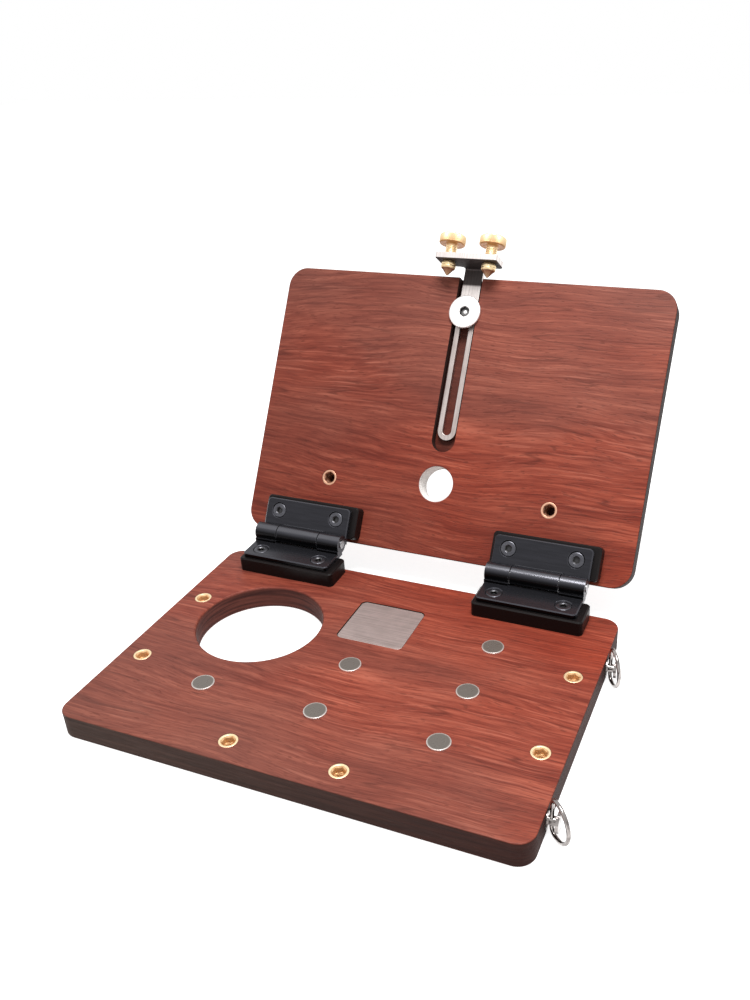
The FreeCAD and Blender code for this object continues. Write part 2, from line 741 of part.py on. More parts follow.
def make_hinge(side):
    """One hinge: its lower pieces at the back edge and its upper pieces on the lid."""
    half = dims.leaf_length / 2
    half_middle = dims.knuckle_middle / 2
    press = dims.pin_dia / 2 + dims.press_gap
    sleeve_radius = dims.pin_dia / 2 + dims.run_gap + dims.sleeve_wall

    # Lower side: two outer knuckles that grip the pin. Its frame is turned half round, so X changes sign.
    middle = -leaf_middle(side)
    columns = [-column for column in screw_columns(side)]
    outer = [
        (middle - half, middle - half_middle - dims.knuckle_gap),
        (middle + half_middle + dims.knuckle_gap, middle + half),
    ]
    between = [(middle - half_middle - dims.knuckle_gap, middle + half_middle + dims.knuckle_gap)]
    block = hinge_block(f"hinge_base_block_{side}", -HINGE_MIDDLES[side])
    drill_block(block, block.Name, columns)
    node(at_back_edge(block), f"hinge_base_block_{side}")
    leaf = hinge_leaf(f"hinge_lower_leaf_{side}", middle, columns, outer, between, press)
    node(at_back_edge(leaf), f"hinge_lower_leaf_{side}")
    node(at_back_edge(hinge_screws(f"hinge_lower_screws_{side}", columns)), f"hinge_lower_screws_{side}")
    pin = cylinder(f"hinge_pin_{side}", dims.pin_dia / 2, dims.leaf_length + dims.pin_proud * 2,
                   leaf_middle(side) - half - dims.pin_proud, BACK + dims.axis_beyond_edge,
                   TOP + AXIS_OVER_FACE, "x")
    node(pin, f"hinge_pin_{side}")

    # Upper side: the middle knuckle, turning on the pin in a friction sleeve
    middle = leaf_middle(side)
    columns = screw_columns(side)
    inner = [(middle - half_middle, middle + half_middle)]
    beside = [
        (middle - half - dims.overrun, middle - half_middle),
        (middle + half_middle, middle + half + dims.overrun),
    ]
    block = hinge_block(f"hinge_lid_block_{side}", HINGE_MIDDLES[side])
    drill_block(block, block.Name, columns)
    node(on_lid(block), f"hinge_lid_block_{side}")
    sleeve_seat = sleeve_radius + dims.press_gap
    leaf = hinge_leaf(f"hinge_upper_leaf_{side}", middle, columns, inner, beside, sleeve_seat)
    node(on_lid(leaf), f"hinge_upper_leaf_{side}")
    node(on_lid(hinge_screws(f"hinge_upper_screws_{side}", columns)), f"hinge_upper_screws_{side}")
    axis = (-dims.axis_beyond_edge, AXIS_OVER_FACE, "x")
    start = middle - half_middle
    shell = cylinder(f"sleeve_outside_{side}", sleeve_radius, dims.knuckle_middle, start, *axis)
    core = cylinder(f"sleeve_inside_{side}", dims.pin_dia / 2 + dims.run_gap,
                    dims.knuckle_middle + dims.overrun * 2, start - dims.overrun, *axis)
    node(on_lid(cut(f"hinge_friction_sleeve_{side}", shell, core)), f"hinge_friction_sleeve_{side}")


# Strap studs and rings

def make_strap_stud(place_name):
    """A stud screwed into the edge: a thin flange on the wood, a stem with a cross hole, and a round head."""
    y = STUD_SPOTS[place_name]
    z = dims.stud_height
    edge = HALF_WIDTH
    name = f"strap_stud_{place_name}"
    stem = cylinder(f"{name}_stem", dims.stud_dia / 2, dims.stud_anchor + dims.stud_head_out,
                    edge - dims.stud_anchor, y, z, "x")
    flange = cylinder(f"{name}_flange", dims.stud_flange / 2, dims.stud_flange_thick, edge, y, z, "x")
    head = cylinder(f"{name}_head", dims.stud_head / 2, dims.stud_head_thick,
                    edge + dims.stud_head_out, y, z, "x")
    hole = cylinder(f"{name}_cross_hole", dims.ring_wire / 2 + dims.ring_hole_play, dims.stud_flange,
                    edge + dims.ring_pivot_out, y, z - dims.stud_flange / 2)
    node(cut(name, fuse(f"{name}_solids", [stem, flange, head]), hole), name)


def make_strap_ring(place_name, turn):
    """A D of round wire: its straight side runs up through the stud, and its bow swings about that side."""
    name = f"strap_ring_{place_name}"
    body = new_body(name)
    path = new_sketch(body, f"{name}_path", "XZ_Plane")
    bow, corner = dims.ring_bow, dims.ring_corner
    middle = dims.ring_reach - bow
    across = corner - middle
    rise = math.sqrt((bow.value - corner.value) ** 2 - across.value ** 2)
    tilt = math.atan2(rise, across.value)
    normal = Vector(0, 0, 1)
    upper = Part.Circle(Vector(corner.value, rise, 0), normal, corner.value)
    lower = Part.Circle(Vector(corner.value, -rise, 0), normal, corner.value)
    arch = Part.Circle(Vector(middle.value, 0, 0), normal, bow.value)
    path.addGeometry(Part.LineSegment(Vector(0, rise, 0), Vector(0, -rise, 0)), False)
    path.addGeometry(Part.ArcOfCircle(lower, math.pi, 2 * math.pi - tilt), False)
    path.addGeometry(Part.ArcOfCircle(arch, -tilt, tilt), False)
    path.addGeometry(Part.ArcOfCircle(upper, tilt, math.pi), False)
    hold(path, "Tangent", 0, 2, 1, 1)
    hold(path, "Tangent", 1, 2, 2, 1)
    hold(path, "Tangent", 2, 2, 3, 1)
    hold(path, "Tangent", 3, 2, 0, 1)
    hold(path, "Vertical", 0)
    hold(path, "PointOnObject", 0, 1, -2)
    hold(path, "PointOnObject", 2, 3, -1)
    hold(path, "Radius", 1, size=corner)
    hold(path, "Radius", 3, size=corner)
    hold(path, "Radius", 2, size=bow)
    hold(path, "DistanceX", -1, 1, 2, 3, size=middle)
    profile = new_sketch(body, f"{name}_wire")
    draw_circle(profile, ZERO, ZERO, dims.ring_wire / 2)
    doc.recompute()
    pipe = body.newObject("PartDesign::AdditivePipe", f"{name}_bent_wire")
    pipe.Profile = profile
    pipe.Spine = path
    doc.recompute()
    body.Placement = Placement(Vector(0, 0, 0), Rotation(Vector(0, 0, 1), turn.value))
    body.setExpression("Placement.Base.x", (HALF_WIDTH + dims.ring_pivot_out).text)
    body.setExpression("Placement.Base.y", STUD_SPOTS[place_name].text)
    body.setExpression("Placement.Base.z", dims.ring_centre_height.text)
    body.setExpression("Placement.Rotation.Angle", turn.text)
    node(body, name)


# The slider and what it carries, in the upper board's frame

HEAD_LOW = dims.board_depth + dims.head_rise
HEAD_HIGH = HEAD_LOW + dims.slider_thick
SLIDER_BACK = -dims.groove_depth
SLIDER_FACE = SLIDER_BACK + dims.slider_thick


def make_slider():
    """One bent strip: a slotted bar in the groove, turned forward over the edge into a T shaped head."""
    body = new_body("slider")
    bar = new_sketch(body, "slider_bar_outline", offset=SLIDER_BACK)
    draw_round_strip(bar, dims.slider_end_up, HEAD_HIGH, dims.slider_width / 2, False)
    pad(body, "slider_bar", bar, dims.slider_thick)
    head = new_sketch(body, "slider_head_outline", "XZ_Plane", -HEAD_HIGH)
    neck, wide = dims.slider_width / 2, dims.head_width / 2
    draw_polygon(head, [
        (-neck, SLIDER_BACK), (neck, SLIDER_BACK), (neck, ZERO), (wide, ZERO),
        (wide, dims.head_reach), (-wide, dims.head_reach), (-wide, ZERO), (-neck, ZERO),
    ])
    pad(body, "slider_head", head, dims.slider_thick)

    def standing(x, z):
        """Picks the head's edges that run along Y at the given distance from the middle."""
        def pick(edge):
            start, end = edge_ends(edge)
            along_y = near(start.x, end.x) and near(start.z, end.z) and not near(start.y, end.y)
            return along_y and near(abs(start.x), x) and near(start.z, z)
        return pick
    soften(body, "head_front_corners", "Fillet", dims.head_front_corner, standing(wide, dims.head_reach))
    soften(body, "head_rear_corners", "Fillet", dims.head_rear_corner, standing(wide, ZERO))
    soften(body, "head_neck_fillets", "Fillet", dims.head_neck_fillet, standing(neck, ZERO))

    def across_at(y, z):
        def pick(edge):
            start, end = edge_ends(edge)
            return all(near(point.y, y) and near(point.z, z) for point in (start, end))
        return pick
    bend_outside = dims.bend_inside + dims.slider_thick
    soften(body, "bend_inside", "Fillet", dims.bend_inside, across_at(HEAD_LOW, SLIDER_FACE))
    soften(body, "bend_outside", "Fillet", bend_outside, across_at(HEAD_HIGH, SLIDER_BACK))
    slot = new_sketch(body, "slider_slot_outline", offset=SLIDER_FACE)
    slot_top = LOCK_UP + dims.slot_high_over_screw
    draw_round_strip(slot, dims.slot_low_up, slot_top, (dims.lock_shank + dims.slot_play) / 2, True)
    pocket(body, "slider_slot", slot, dims.slider_thick + dims.overrun)
    for side, x in (("left", -dims.thumb_across), ("right", dims.thumb_across)):
        hole = body_solid(body, "SubtractiveCylinder", f"thumb_hole_{side}",
                          Radius=dims.thumb_shank / 2 + dims.run_gap,
                          Height=dims.slider_thick + dims.overrun * 2)
        place(hole, x, HEAD_LOW - dims.overrun, dims.thumb_out, "y")
        doc.recompute()

    def outer_rim(edge):
        """Picks the outline of the bar's front face, and of the head's upper and lower faces."""
        box = edge.BoundBox
        on_bar = box.ZLength < 1e-4 and near(box.ZMin, SLIDER_FACE)
        on_head = box.YLength < 1e-4 and (near(box.YMin, HEAD_HIGH) or near(box.YMin, HEAD_LOW))
        round_edge = isinstance(edge.Curve, Part.Circle)
        screw_hole = round_edge and near(edge.Curve.Radius, dims.thumb_shank / 2 + dims.run_gap)
        return (on_bar or on_head) and not screw_hole
    soften(body, "slider_eased_edges", "Fillet", dims.slider_edge_round, outer_rim)
    node(on_lid(body), "slider")


def make_lock_screw():
    """A flat headed screw: its collar bears on the slider's legs and its shank goes into the insert."""
    x, y = ZERO, LOCK_UP
    low = SLIDER_FACE + dims.lock_over_slider
    head_low = dims.lock_over_face
    straight = dims.lock_head_thick - dims.lock_head_chamfer
    radius = dims.lock_head / 2
    shank_low = SLIDER_BACK - LOCK_NUT_LENGTH
    parts = [
        cylinder("lock_screw_drum", radius, straight, x, y, head_low),
        cone("lock_screw_bevel", radius, radius - dims.lock_head_chamfer, dims.lock_head_chamfer,
             x, y, head_low + straight),
        cylinder("lock_screw_collar", dims.lock_collar / 2, head_low - low, x, y, low),
        cylinder("lock_screw_shank", dims.lock_shank / 2, head_low - shank_low, x, y, shank_low),
    ]
    socket = hexagon("lock_screw_socket", dims.lock_hex, dims.lock_hex_deep + dims.overrun, x, y,
                     head_low + dims.lock_head_thick - dims.lock_hex_deep)
    node(on_lid(cut("lock_screw", fuse("lock_screw_solids", parts), socket)), "lock_screw")
    shell = cylinder("lock_nut_outside", dims.lock_nut / 2, LOCK_NUT_LENGTH, x, y, shank_low)
    bore = cylinder("lock_nut_inside", dims.lock_shank / 2 + dims.run_gap,
                    LOCK_NUT_LENGTH + dims.overrun * 2, x, y, shank_low - dims.overrun)
    node(on_lid(cut("lock_nut", shell, bore)), "lock_nut")


def make_thumbscrew(side, x):
    """A knurled head on a shank through the slider's head, with a neck that ends in a swivel tip."""
    name = f"thumbscrew_{side}"
    z = dims.thumb_out
    head_low = HEAD_HIGH + dims.thumb_clear
    head_high = head_low + dims.thumb_head_height
    tip_high = HEAD_LOW - dims.tip_gap
    radius = dims.thumb_head / 2
    body = new_body(f"{name}_turned_part")
    profile = new_sketch(body, f"{name}_profile")
    bevel, shank, neck = dims.thumb_head_chamfer, dims.thumb_shank / 2, dims.thumb_neck / 2
    neck_low = tip_high - dims.thumb_neck_length
    shank_low = tip_high + dims.seat_gap
    draw_polygon(profile, [
        (ZERO, neck_low), (neck, neck_low), (neck, shank_low), (shank, shank_low),
        (shank, head_low), (radius - bevel, head_low), (radius, head_low + bevel),
        (radius, head_high - bevel), (radius - bevel, head_high), (ZERO, head_high),
    ])
    turned = body.newObject("PartDesign::Revolution", f"{name}_turned")
    turned.Profile = profile
    turned.ReferenceAxis = (profile, ["V_Axis"])
    turned.Angle = 360
    doc.recompute()
    groove = body_solid(body, "SubtractiveCylinder", f"{name}_knurl",
                        Radius=dims.knurl_depth, Height=dims.thumb_head_height + dims.overrun * 2)
    place(groove, radius, head_low - dims.overrun, ZERO, "y")
    doc.recompute()
    knurls = body.newObject("PartDesign::PolarPattern", f"{name}_knurls")
    knurls.Originals = [groove]
    knurls.Axis = (profile, ["V_Axis"])
    knurls.Angle = 360
    bind(knurls, Occurrences=dims.knurl_count)
    body.Tip = knurls
    doc.recompute()
    moved = compound(f"{name}_set", [body])
    place(moved, x, ZERO, z)
    node(on_lid(compound(f"{name}_on_lid", [moved])), name)

    tip = f"thumbscrew_tip_{side}"
    collar_low = tip_high - dims.tip_collar_height
    shell = fuse(f"{tip}_solids", [
        cylinder(f"{tip}_collar", dims.tip_collar / 2, dims.tip_collar_height, x, collar_low, z, "y"),
        cone(f"{tip}_cone", dims.tip_cone_base / 2, dims.tip_cone_end / 2, dims.tip_cone_length,
             x, collar_low, z, "-y"),
    ])
    bore = cylinder(f"{tip}_bore", neck + dims.run_gap, dims.thumb_neck_length + dims.seat_gap + dims.overrun,
                    x, neck_low - dims.seat_gap, z, "y")
    node(on_lid(cut(tip, shell, bore)), tip)


def check_document():
    """Stops if any object failed, or if a piece's shape is empty or not valid."""
    doc.recompute()
    for thing in doc.Objects:
        if "Invalid" in thing.State or "Error" in thing.State:
            raise RuntimeError(f"{thing.Name} failed: {thing.State}")
    for thing in nodes:
        if thing.Shape.isNull() or not thing.Shape.isValid() or thing.Shape.Volume <= 0:
            raise RuntimeError(f"{thing.Label} has no valid shape")


def write_parts():
    os.makedirs("parts", exist_ok=True)
    for thing in nodes:
        thing.Shape.exportStep(os.path.join("parts", f"{thing.Label}.step"))
        print(f"{thing.Label}: {len(thing.Shape.Solids)} solid, {thing.Shape.Volume:.1f} mm3")


make_lower_board()
node(threaded_inserts("side_inserts", SIDE_SPOTS, TOP), "side_inserts")
node(threaded_inserts("front_inserts", FRONT_SPOTS, TOP), "front_inserts")
make_magnets()
make_blank_plate()
make_upper_board()
node(on_lid(threaded_inserts("upper_inserts", UPPER_SPOTS, ZERO)), "upper_inserts")
for hinge_side in HINGE_MIDDLES:
    make_hinge(hinge_side)
make_strap_stud("front")
make_strap_stud("rear")
make_strap_ring("front", dims.front_ring_turn)
make_strap_ring("rear", dims.rear_ring_turn)
make_slider()
make_lock_screw()
make_thumbscrew("left", -dims.thumb_across)
make_thumbscrew("right", dims.thumb_across)
check_document()
write_parts()
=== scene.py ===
"""A folding wooden work board: two hinged boards, a clamp on a slider and two strap rings."""
import json

import bmesh
import bpy
import numpy as np
from mathutils import Matrix, Vector


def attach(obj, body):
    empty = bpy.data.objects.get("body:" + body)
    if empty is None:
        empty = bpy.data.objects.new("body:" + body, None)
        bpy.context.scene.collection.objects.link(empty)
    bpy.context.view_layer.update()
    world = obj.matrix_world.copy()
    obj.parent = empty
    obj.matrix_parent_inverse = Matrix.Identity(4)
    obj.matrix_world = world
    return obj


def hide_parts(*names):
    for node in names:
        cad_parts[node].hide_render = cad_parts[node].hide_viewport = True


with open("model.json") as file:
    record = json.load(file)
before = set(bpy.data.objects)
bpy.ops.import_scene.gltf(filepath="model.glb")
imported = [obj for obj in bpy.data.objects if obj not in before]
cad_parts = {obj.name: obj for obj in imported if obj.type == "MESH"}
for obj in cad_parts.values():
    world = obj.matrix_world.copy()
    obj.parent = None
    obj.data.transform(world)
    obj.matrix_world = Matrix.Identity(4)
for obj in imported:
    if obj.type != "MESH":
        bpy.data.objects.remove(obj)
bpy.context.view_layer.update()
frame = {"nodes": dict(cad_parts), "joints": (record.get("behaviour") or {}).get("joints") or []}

# The view: places in metres in the board's own frame, angles in degrees, lens and sensor in millimetres
CAMERA_PLACE = (0.19879, -0.34991, 0.31988)
CAMERA_AZIMUTH = 24.523
CAMERA_ELEVATION = 30.067
CAMERA_ROLL = -3.117
CAMERA_LENS = 34.013
CAMERA_SENSOR = 36.0
CAMERA_SHIFT = (-0.03626, 0.04068)
CAMERA_NEAR = 0.01

# The studio: metres, watts and strengths of light
FLOOR_REACH = 3.0
FLOOR_TONE = (226, 226, 226)
FLOOR_GLOW = 0.78
LIGHT_AIM = Vector((0.0, 0.0, 0.06))
LAMP_PLACE = (0.12, -0.05, 1.0)
LAMP_SIZE = 0.4
LAMP_POWER = 11.5
ROOM_LIGHT = 0.5
SEEN_LIGHT = 1.0

MM = 0.001
BOTH = ("left", "right")

# Turned pieces: lengths in millimetres, and columns of faces round the axis
KNURL_TEETH = 72
KNURL_DEPTH = 0.18
THREAD_PITCH = 1.0
THREAD_DEPTH = 0.42
EASED_ROWS = 5
SAME_ROW = 1e-6
SHARP_ANGLE = 38
THUMBSCREW_COLUMNS = KNURL_TEETH * 4
LOCK_COLUMNS = 96
DISC_COLUMNS = 72
SMALL_COLUMNS = 48
INSERT_RADIUS = 4.93
MAGNET_RADIUS = 6.0
SCREW_RADIUS = 5.0

# Directions of the painted highlight along the top of the hinges' barrels and of the painted shade under them
BARREL_HIGHLIGHT_WAY = (0.0, -0.45, 0.893)
BARREL_SHADE_WAY = (0.0, -0.8, -0.6)

# Edges lightened partly as wear and partly as painted highlight: how far in metres an edge reaches, and
# how strongly it shows
EDGE_REACH = 0.0004
EDGE_SHARE = 0.8

# The boards, in metres
BOARD_TOP = 0.014
BOARD_HALF_DEPTH = 0.086
# How far along the board the edges run from their left to their right tone
EDGE_TONE_REACH = 0.12
CUP_HOLE = ((-0.0668, 0.0183, 0.0), 0.036)
PEG_HOLE = ((0.0, 0.0442 - BOARD_HALF_DEPTH, 0.0), 0.01075)

# The layers of the wood's grain: repeats in a metre along the fibres, across them and through the board
GRAIN = {
    "sway": (6.0, 11.0, 11.0),
    "flutter": (34.0, 90.0, 90.0),
    "fibres": (15.0, 460.0, 460.0),
    "hairs": (60.0, 1200.0, 1200.0),
    "bands": (4.0, 75.0, 75.0),
    "streaks": (20.0, 640.0, 640.0),
    "streaky_parts": (14.0, 26.0, 26.0),
    "growth": (3.5, 55.0, 55.0),
    "lined_parts": (22.0, 60.0, 60.0),
    "patches": (9.0, 16.0, 16.0),
    "pores": (210.0, 1700.0, 1700.0),
    "layers": (30.0, 30.0, 700.0),
}
GROWTH_LINES = 8.0
FIBRE_TONES = ((0.0, (101, 44, 34)), (0.4, (126, 62, 49)), (0.62, (137, 71, 56)), (1.0, (161, 90, 72)))
STREAK_TONE = (190, 118, 98)
LINE_TONE = (82, 35, 27)
RED_TONE = (196, 106, 44)
# A grey painted sheen
GREY_SHEEN_TONE = (108, 76, 68)
# Painted shade
PAINTED_SHADE_TONE = (62, 32, 28)
PORE_TONE = (80, 36, 27)
# Painted shade on the floors of pockets
POCKET_SHADE_TONE = (58, 26, 20)

# The two boards' own looks. Glow and lit are directions: against glow a board takes a painted sheen, and
# against lit a painted shade. Fade is a range along lit, and the edge's four tones are its dark layers at the
# left and right, then its light layers
LOWER_LOOK = {
    "glow": (3.0, 6.0, 0.0),
    "lit": (5.0, 3.0, 0.0),
    "fade": (-2.2, 0.9),
    "hole": CUP_HOLE,
    "wall_tones": ((54, 24, 20), (102, 55, 46)),
    "edge_tones": ((54, 39, 33), (36, 11, 6), (76, 57, 50), (56, 23, 15)),
}
UPPER_LOOK = {
    "glow": (0.0, -8.0, 0.0),
    "lit": (9.0, 6.0, 0.0),
    "fade": (-1.5, 0.9),
    "hole": PEG_HOLE,
    "wall_tones": ((244, 241, 238), (232, 228, 224)),
    "edge_tones": ((50, 30, 26), (30, 18, 16), (72, 46, 40), (44, 28, 25)),
}

# The metals and lacquers: tones from 0 to 255, the repeats of the brush marks and their depth in metres
# Painted shade in six sided sockets
SOCKET_SHADE_TONE = (26, 24, 24)
METALS = {
    "brass": dict(name="knurled_brass", light=(252, 231, 190), dark=(244, 218, 172), turned=(176, 118, 58),
                  roughness=0.4, stretch=(3, 3, 700), bump=0.000003),
    "insert_brass": dict(name="insert_brass", light=(252, 230, 192), dark=(240, 210, 166),
                         turned=(226, 180, 126), roughness=0.4, stretch=(5, 5, 1600)),
    # A darker copy of the insert brass for the leaning upper board, a painted shade
    "upper_shaded_brass": dict(name="upper_insert_brass_shaded", light=(226, 178, 150), dark=(206, 156, 128),
                        turned=(120, 74, 50), roughness=0.42, stretch=(5, 5, 1600)),
    "tip_brass": dict(name="tip_brass", light=(252, 231, 188), dark=(238, 208, 156), turned=(126, 72, 42),
                      roughness=0.36, stretch=(4, 4, 1400), bump=0.000003),
    # The lighter edge tone is partly wear and partly painted highlight
    "block_black": dict(name="block_black", light=(18, 13, 13), dark=(11, 8, 8), wear_and_highlight_tone=(58, 48, 48),
                        roughness=0.4, stretch=(420, 420, 420), bump=0.00002, metallic=0.0, gloss=0.16),
    "screw_black": dict(name="screw_black", light=(104, 104, 110), dark=(74, 74, 79), turned=SOCKET_SHADE_TONE,
                        roughness=0.3, stretch=(6, 6, 1500)),
    "pin_steel": dict(name="pin_steel", light=(200, 200, 202), dark=(150, 150, 152), roughness=0.3,
                      stretch=(300, 900, 900)),
    # Light tones for the painted highlight on the rims, the shade tone for the painted shade on the faces
    "magnet": dict(name="magnet_nickel", light=(252, 244, 238), dark=(234, 225, 219), turned=(98, 92, 86),
                   roughness=0.3, stretch=(3, 3, 700), bump=0.000004, metallic=0.9),
    # The lighter rim tone is partly wear and partly painted highlight
    "plate": dict(name="brushed_plate", light=(188, 174, 170), dark=(150, 137, 133), wear_and_highlight_tone=(226, 216, 212),
                  roughness=0.46, stretch=(30, 1300, 1300), bump=0.00002, metallic=0.8),
    "lock": dict(name="lock_steel", light=(252, 249, 248), dark=(240, 236, 234), turned=SOCKET_SHADE_TONE,
                 roughness=0.45, stretch=(4, 4, 1500), bump=0.000004),
    "chrome": dict(name="dark_chrome", light=(172, 166, 163), dark=(112, 106, 104), roughness=0.16,
                   stretch=(260, 260, 260)),
    "sleeve": dict(name="sleeve_plastic", light=(150, 146, 132), dark=(120, 116, 104), roughness=0.5,
                   stretch=(500, 500, 500), metallic=0.0),
}


# The frames that the pieces are drawn in

class Frame:
    """An origin and three axes, kept as numpy rows, in metres."""

    def __init__(self, origin, axes):
        self.origin = np.array(origin, float)
        self.axes = np.array(axes, float)

    def to_world(self, points):
        return self.origin + (points * MM) @ self.axes

    def reach(self, name):
        """The lowest and highest corner of a node along this frame's own axes, in millimetres."""
        mesh = frame["nodes"][name].data
        spots = np.empty(len(mesh.vertices) * 3)
        mesh.vertices.foreach_get("co", spots)
        own = (spots.reshape(-1, 3) - self.origin) @ self.axes.T / MM
        return own.min(0), own.max(0)


def joint(name):
    return next(one for one in frame["joints"] if one["name"] == name)


LID_UP = Vector(joint("clamp_slide")["axis"]).normalized()
LID_OUT = Vector(joint("lock_screw_turn")["axis"]).normalized()
LID_ANGLE = LID_UP.angle(Vector((0, 1, 0)))


def make_lid_frame():
    """The upper board's own frame: its origin in the middle of its hinge edge, Z out of its front face."""
    axes = np.array([(1, 0, 0), LID_UP, LID_OUT], float)
    low, high = Frame((0, 0, 0), axes).reach("upper_board")
    return Frame(np.array([0, low[1], high[2]]) * MM @ axes, axes)


BASE = Frame((0, 0, 0), np.eye(3))
LID = make_lid_frame()


# Surfaces

def at(radius, height, ease=0.0, six=0.0, thread=0.0, knurl=0.0, shade=0.0):
    """One corner of a profile: how far it is eased, how much it is six sided, threaded and knurled, and its
    painted shade.
    """
    return radius, height, six, thread, knurl, shade, ease


def profile(*corners, step):
    """A profile through corners. A corner C is eased by the curve (1-t)^2 A + 2t(1-t) C + t^2 B, where A
    and B lie on its two sides at the easing distance. Rows are then added at the step's spacing."""
    table = np.array(corners, float)
    points, ease = table[:, :6], table[:, 6:]
    before = np.concatenate([points[:1], points[:-1]])
    after = np.concatenate([points[1:], points[-1:]])

    def beside(other):
        way = other - points
        length = np.linalg.norm(way[:, :2], axis=1, keepdims=True)
        return points + way * np.minimum(ease / np.maximum(length, 1e-9), 0.5)

    t = np.linspace(0, 1, EASED_ROWS)[None, :, None]
    start, stop = beside(before)[:, None], beside(after)[:, None]
    curve = (1 - t) ** 2 * start + 2 * t * (1 - t) * points[:, None] + t ** 2 * stop
    rows = curve.reshape(-1, 6)
    rows = rows[np.r_[True, np.abs(np.diff(rows[:, :2], axis=0)).max(1) > SAME_ROW]]
    along = np.r_[0, np.cumsum(np.linalg.norm(np.diff(rows[:, :2], axis=0), axis=1) + 1e-9)]
    dense = np.union1d(along, np.arange(0, along[-1], step))
    return np.stack([np.interp(dense, along, column) for column in rows.T], 1)


def turn_round(rows, columns):
    """A profile turned once round its axis, as a grid of points about the axis and of surface coordinates.
    Six sided rows have the radius r / cos(a), with a the angle from the nearest flat's middle. A thread
    takes a triangle wave of height / pitch - angle / full turn off the radius, and a knurl a wave of the
    angle alone."""
    angle = np.arange(columns)[None, :] * 2 * np.pi / columns
    radius, height, six, thread, knurl = [column[:, None] for column in rows.T[:5]]
    flat = (angle + np.pi / 6) % (np.pi / 3) - np.pi / 6
    wave = np.abs((height / THREAD_PITCH - angle / (2 * np.pi)) % 1.0 - 0.5) * 2
    tooth = np.abs((angle * KNURL_TEETH / (2 * np.pi)) % 1.0 - 0.5) * 2
    radius = radius * (1 + six * (1 / np.cos(flat) - 1))
    radius = radius - thread * THREAD_DEPTH * wave - knurl * KNURL_DEPTH * tooth
    height = np.repeat(height, columns, 1)
    points = np.stack([radius * np.cos(angle), radius * np.sin(angle), height], 2)
    along = np.r_[0, np.cumsum(np.linalg.norm(np.diff(rows[:, :2], axis=0), axis=1))]
    along = np.repeat(along[:, None], columns, 1)
    round_about = np.stack([np.cos(angle) + 0 * along, np.sin(angle) + 0 * along, along * MM], 2)
    return points, round_about


class Shell:
    """One piece's mesh: grids of points with their faces, added one after the other."""

    def __init__(self):
        self.points = []
        self.rounds = []
        self.shades = []
        self.faces = []
        self.count = 0

    def add_turned(self, rows, spot, place_frame, along, columns, ring=False):
        """A profile turned about an axis through a spot. A profile that starts and ends on the axis is
        closed there by poles, and a ring's last row joins its first."""
        points, rounds = turn_round(rows, columns)
        count = len(rows)
        if along == "y":
            points = points[:, :, [1, 2, 0]]
        index = self.count + np.arange(count * columns).reshape(count, columns)
        beside = np.roll(index, -1, 1)
        last = count if ring else count - 1
        upper = np.roll(index, -1, 0)[:last]
        upper_beside = np.roll(beside, -1, 0)[:last]
        quads = np.stack([index[:last], beside[:last], upper_beside, upper], 2)
        if ring:
            self.faces += quads.reshape(-1, 4).tolist()
        else:
            low_pole, high_pole = index[0, 0], index[-1, 0]
            self.faces += quads[1:-1].reshape(-1, 4).tolist()
            self.faces += [[low_pole, c, b] for b, c in zip(index[1].tolist(), beside[1].tolist())]
            self.faces += [[high_pole, b, c] for b, c in zip(index[-2].tolist(), beside[-2].tolist())]
        self.points.append(place_frame.to_world(points.reshape(-1, 3) + np.array(spot, float)))
        self.rounds.append(rounds.reshape(-1, 3))
        self.shades.append(np.repeat(rows[:, 5], columns))
        self.count += count * columns

    def finish(self, name, material, body, slot, replaced):
        """Makes the piece, with its surface coordinates as an attribute, and ties it to its body."""
        mesh = bpy.data.meshes.new(name)
        mesh.from_pydata(np.concatenate(self.points).tolist(), [], self.faces)
        layer = mesh.attributes.new("round_about", "FLOAT_VECTOR", "POINT")
        layer.data.foreach_set("vector", np.concatenate(self.rounds).ravel())
        layer = mesh.attributes.new("shade", "FLOAT", "POINT")
        layer.data.foreach_set("value", np.concatenate(self.shades))
        mesh.materials.append(material)
        drop_loose_points(mesh)
        mesh.polygons.foreach_set("use_smooth", np.ones(len(mesh.polygons), bool))
        mesh.set_sharp_from_angle(angle=np.radians(SHARP_ANGLE))
        piece = bpy.data.objects.new(name, mesh)
        bpy.context.scene.collection.objects.link(piece)
        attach(piece, body)
        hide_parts(*replaced)


def drop_loose_points(mesh):
    """Takes away the points of pole rows that no face uses."""
    work = bmesh.new()
    work.from_mesh(mesh)
    loose = [point for point in work.verts if not point.link_faces]
    bmesh.ops.delete(work, geom=loose, context="VERTS")
    work.to_mesh(mesh)
    work.free()


# Material recipes

def paint(red, green, blue):
    """A colour written in the usual 0 to 255 steps, as the linear colour that a shader takes."""
    steps = np.array([red, green, blue]) / 255
    linear = np.where(steps <= 0.04045, steps / 12.92, ((steps + 0.055) / 1.055) ** 2.4)
    return (*linear.tolist(), 1.0)


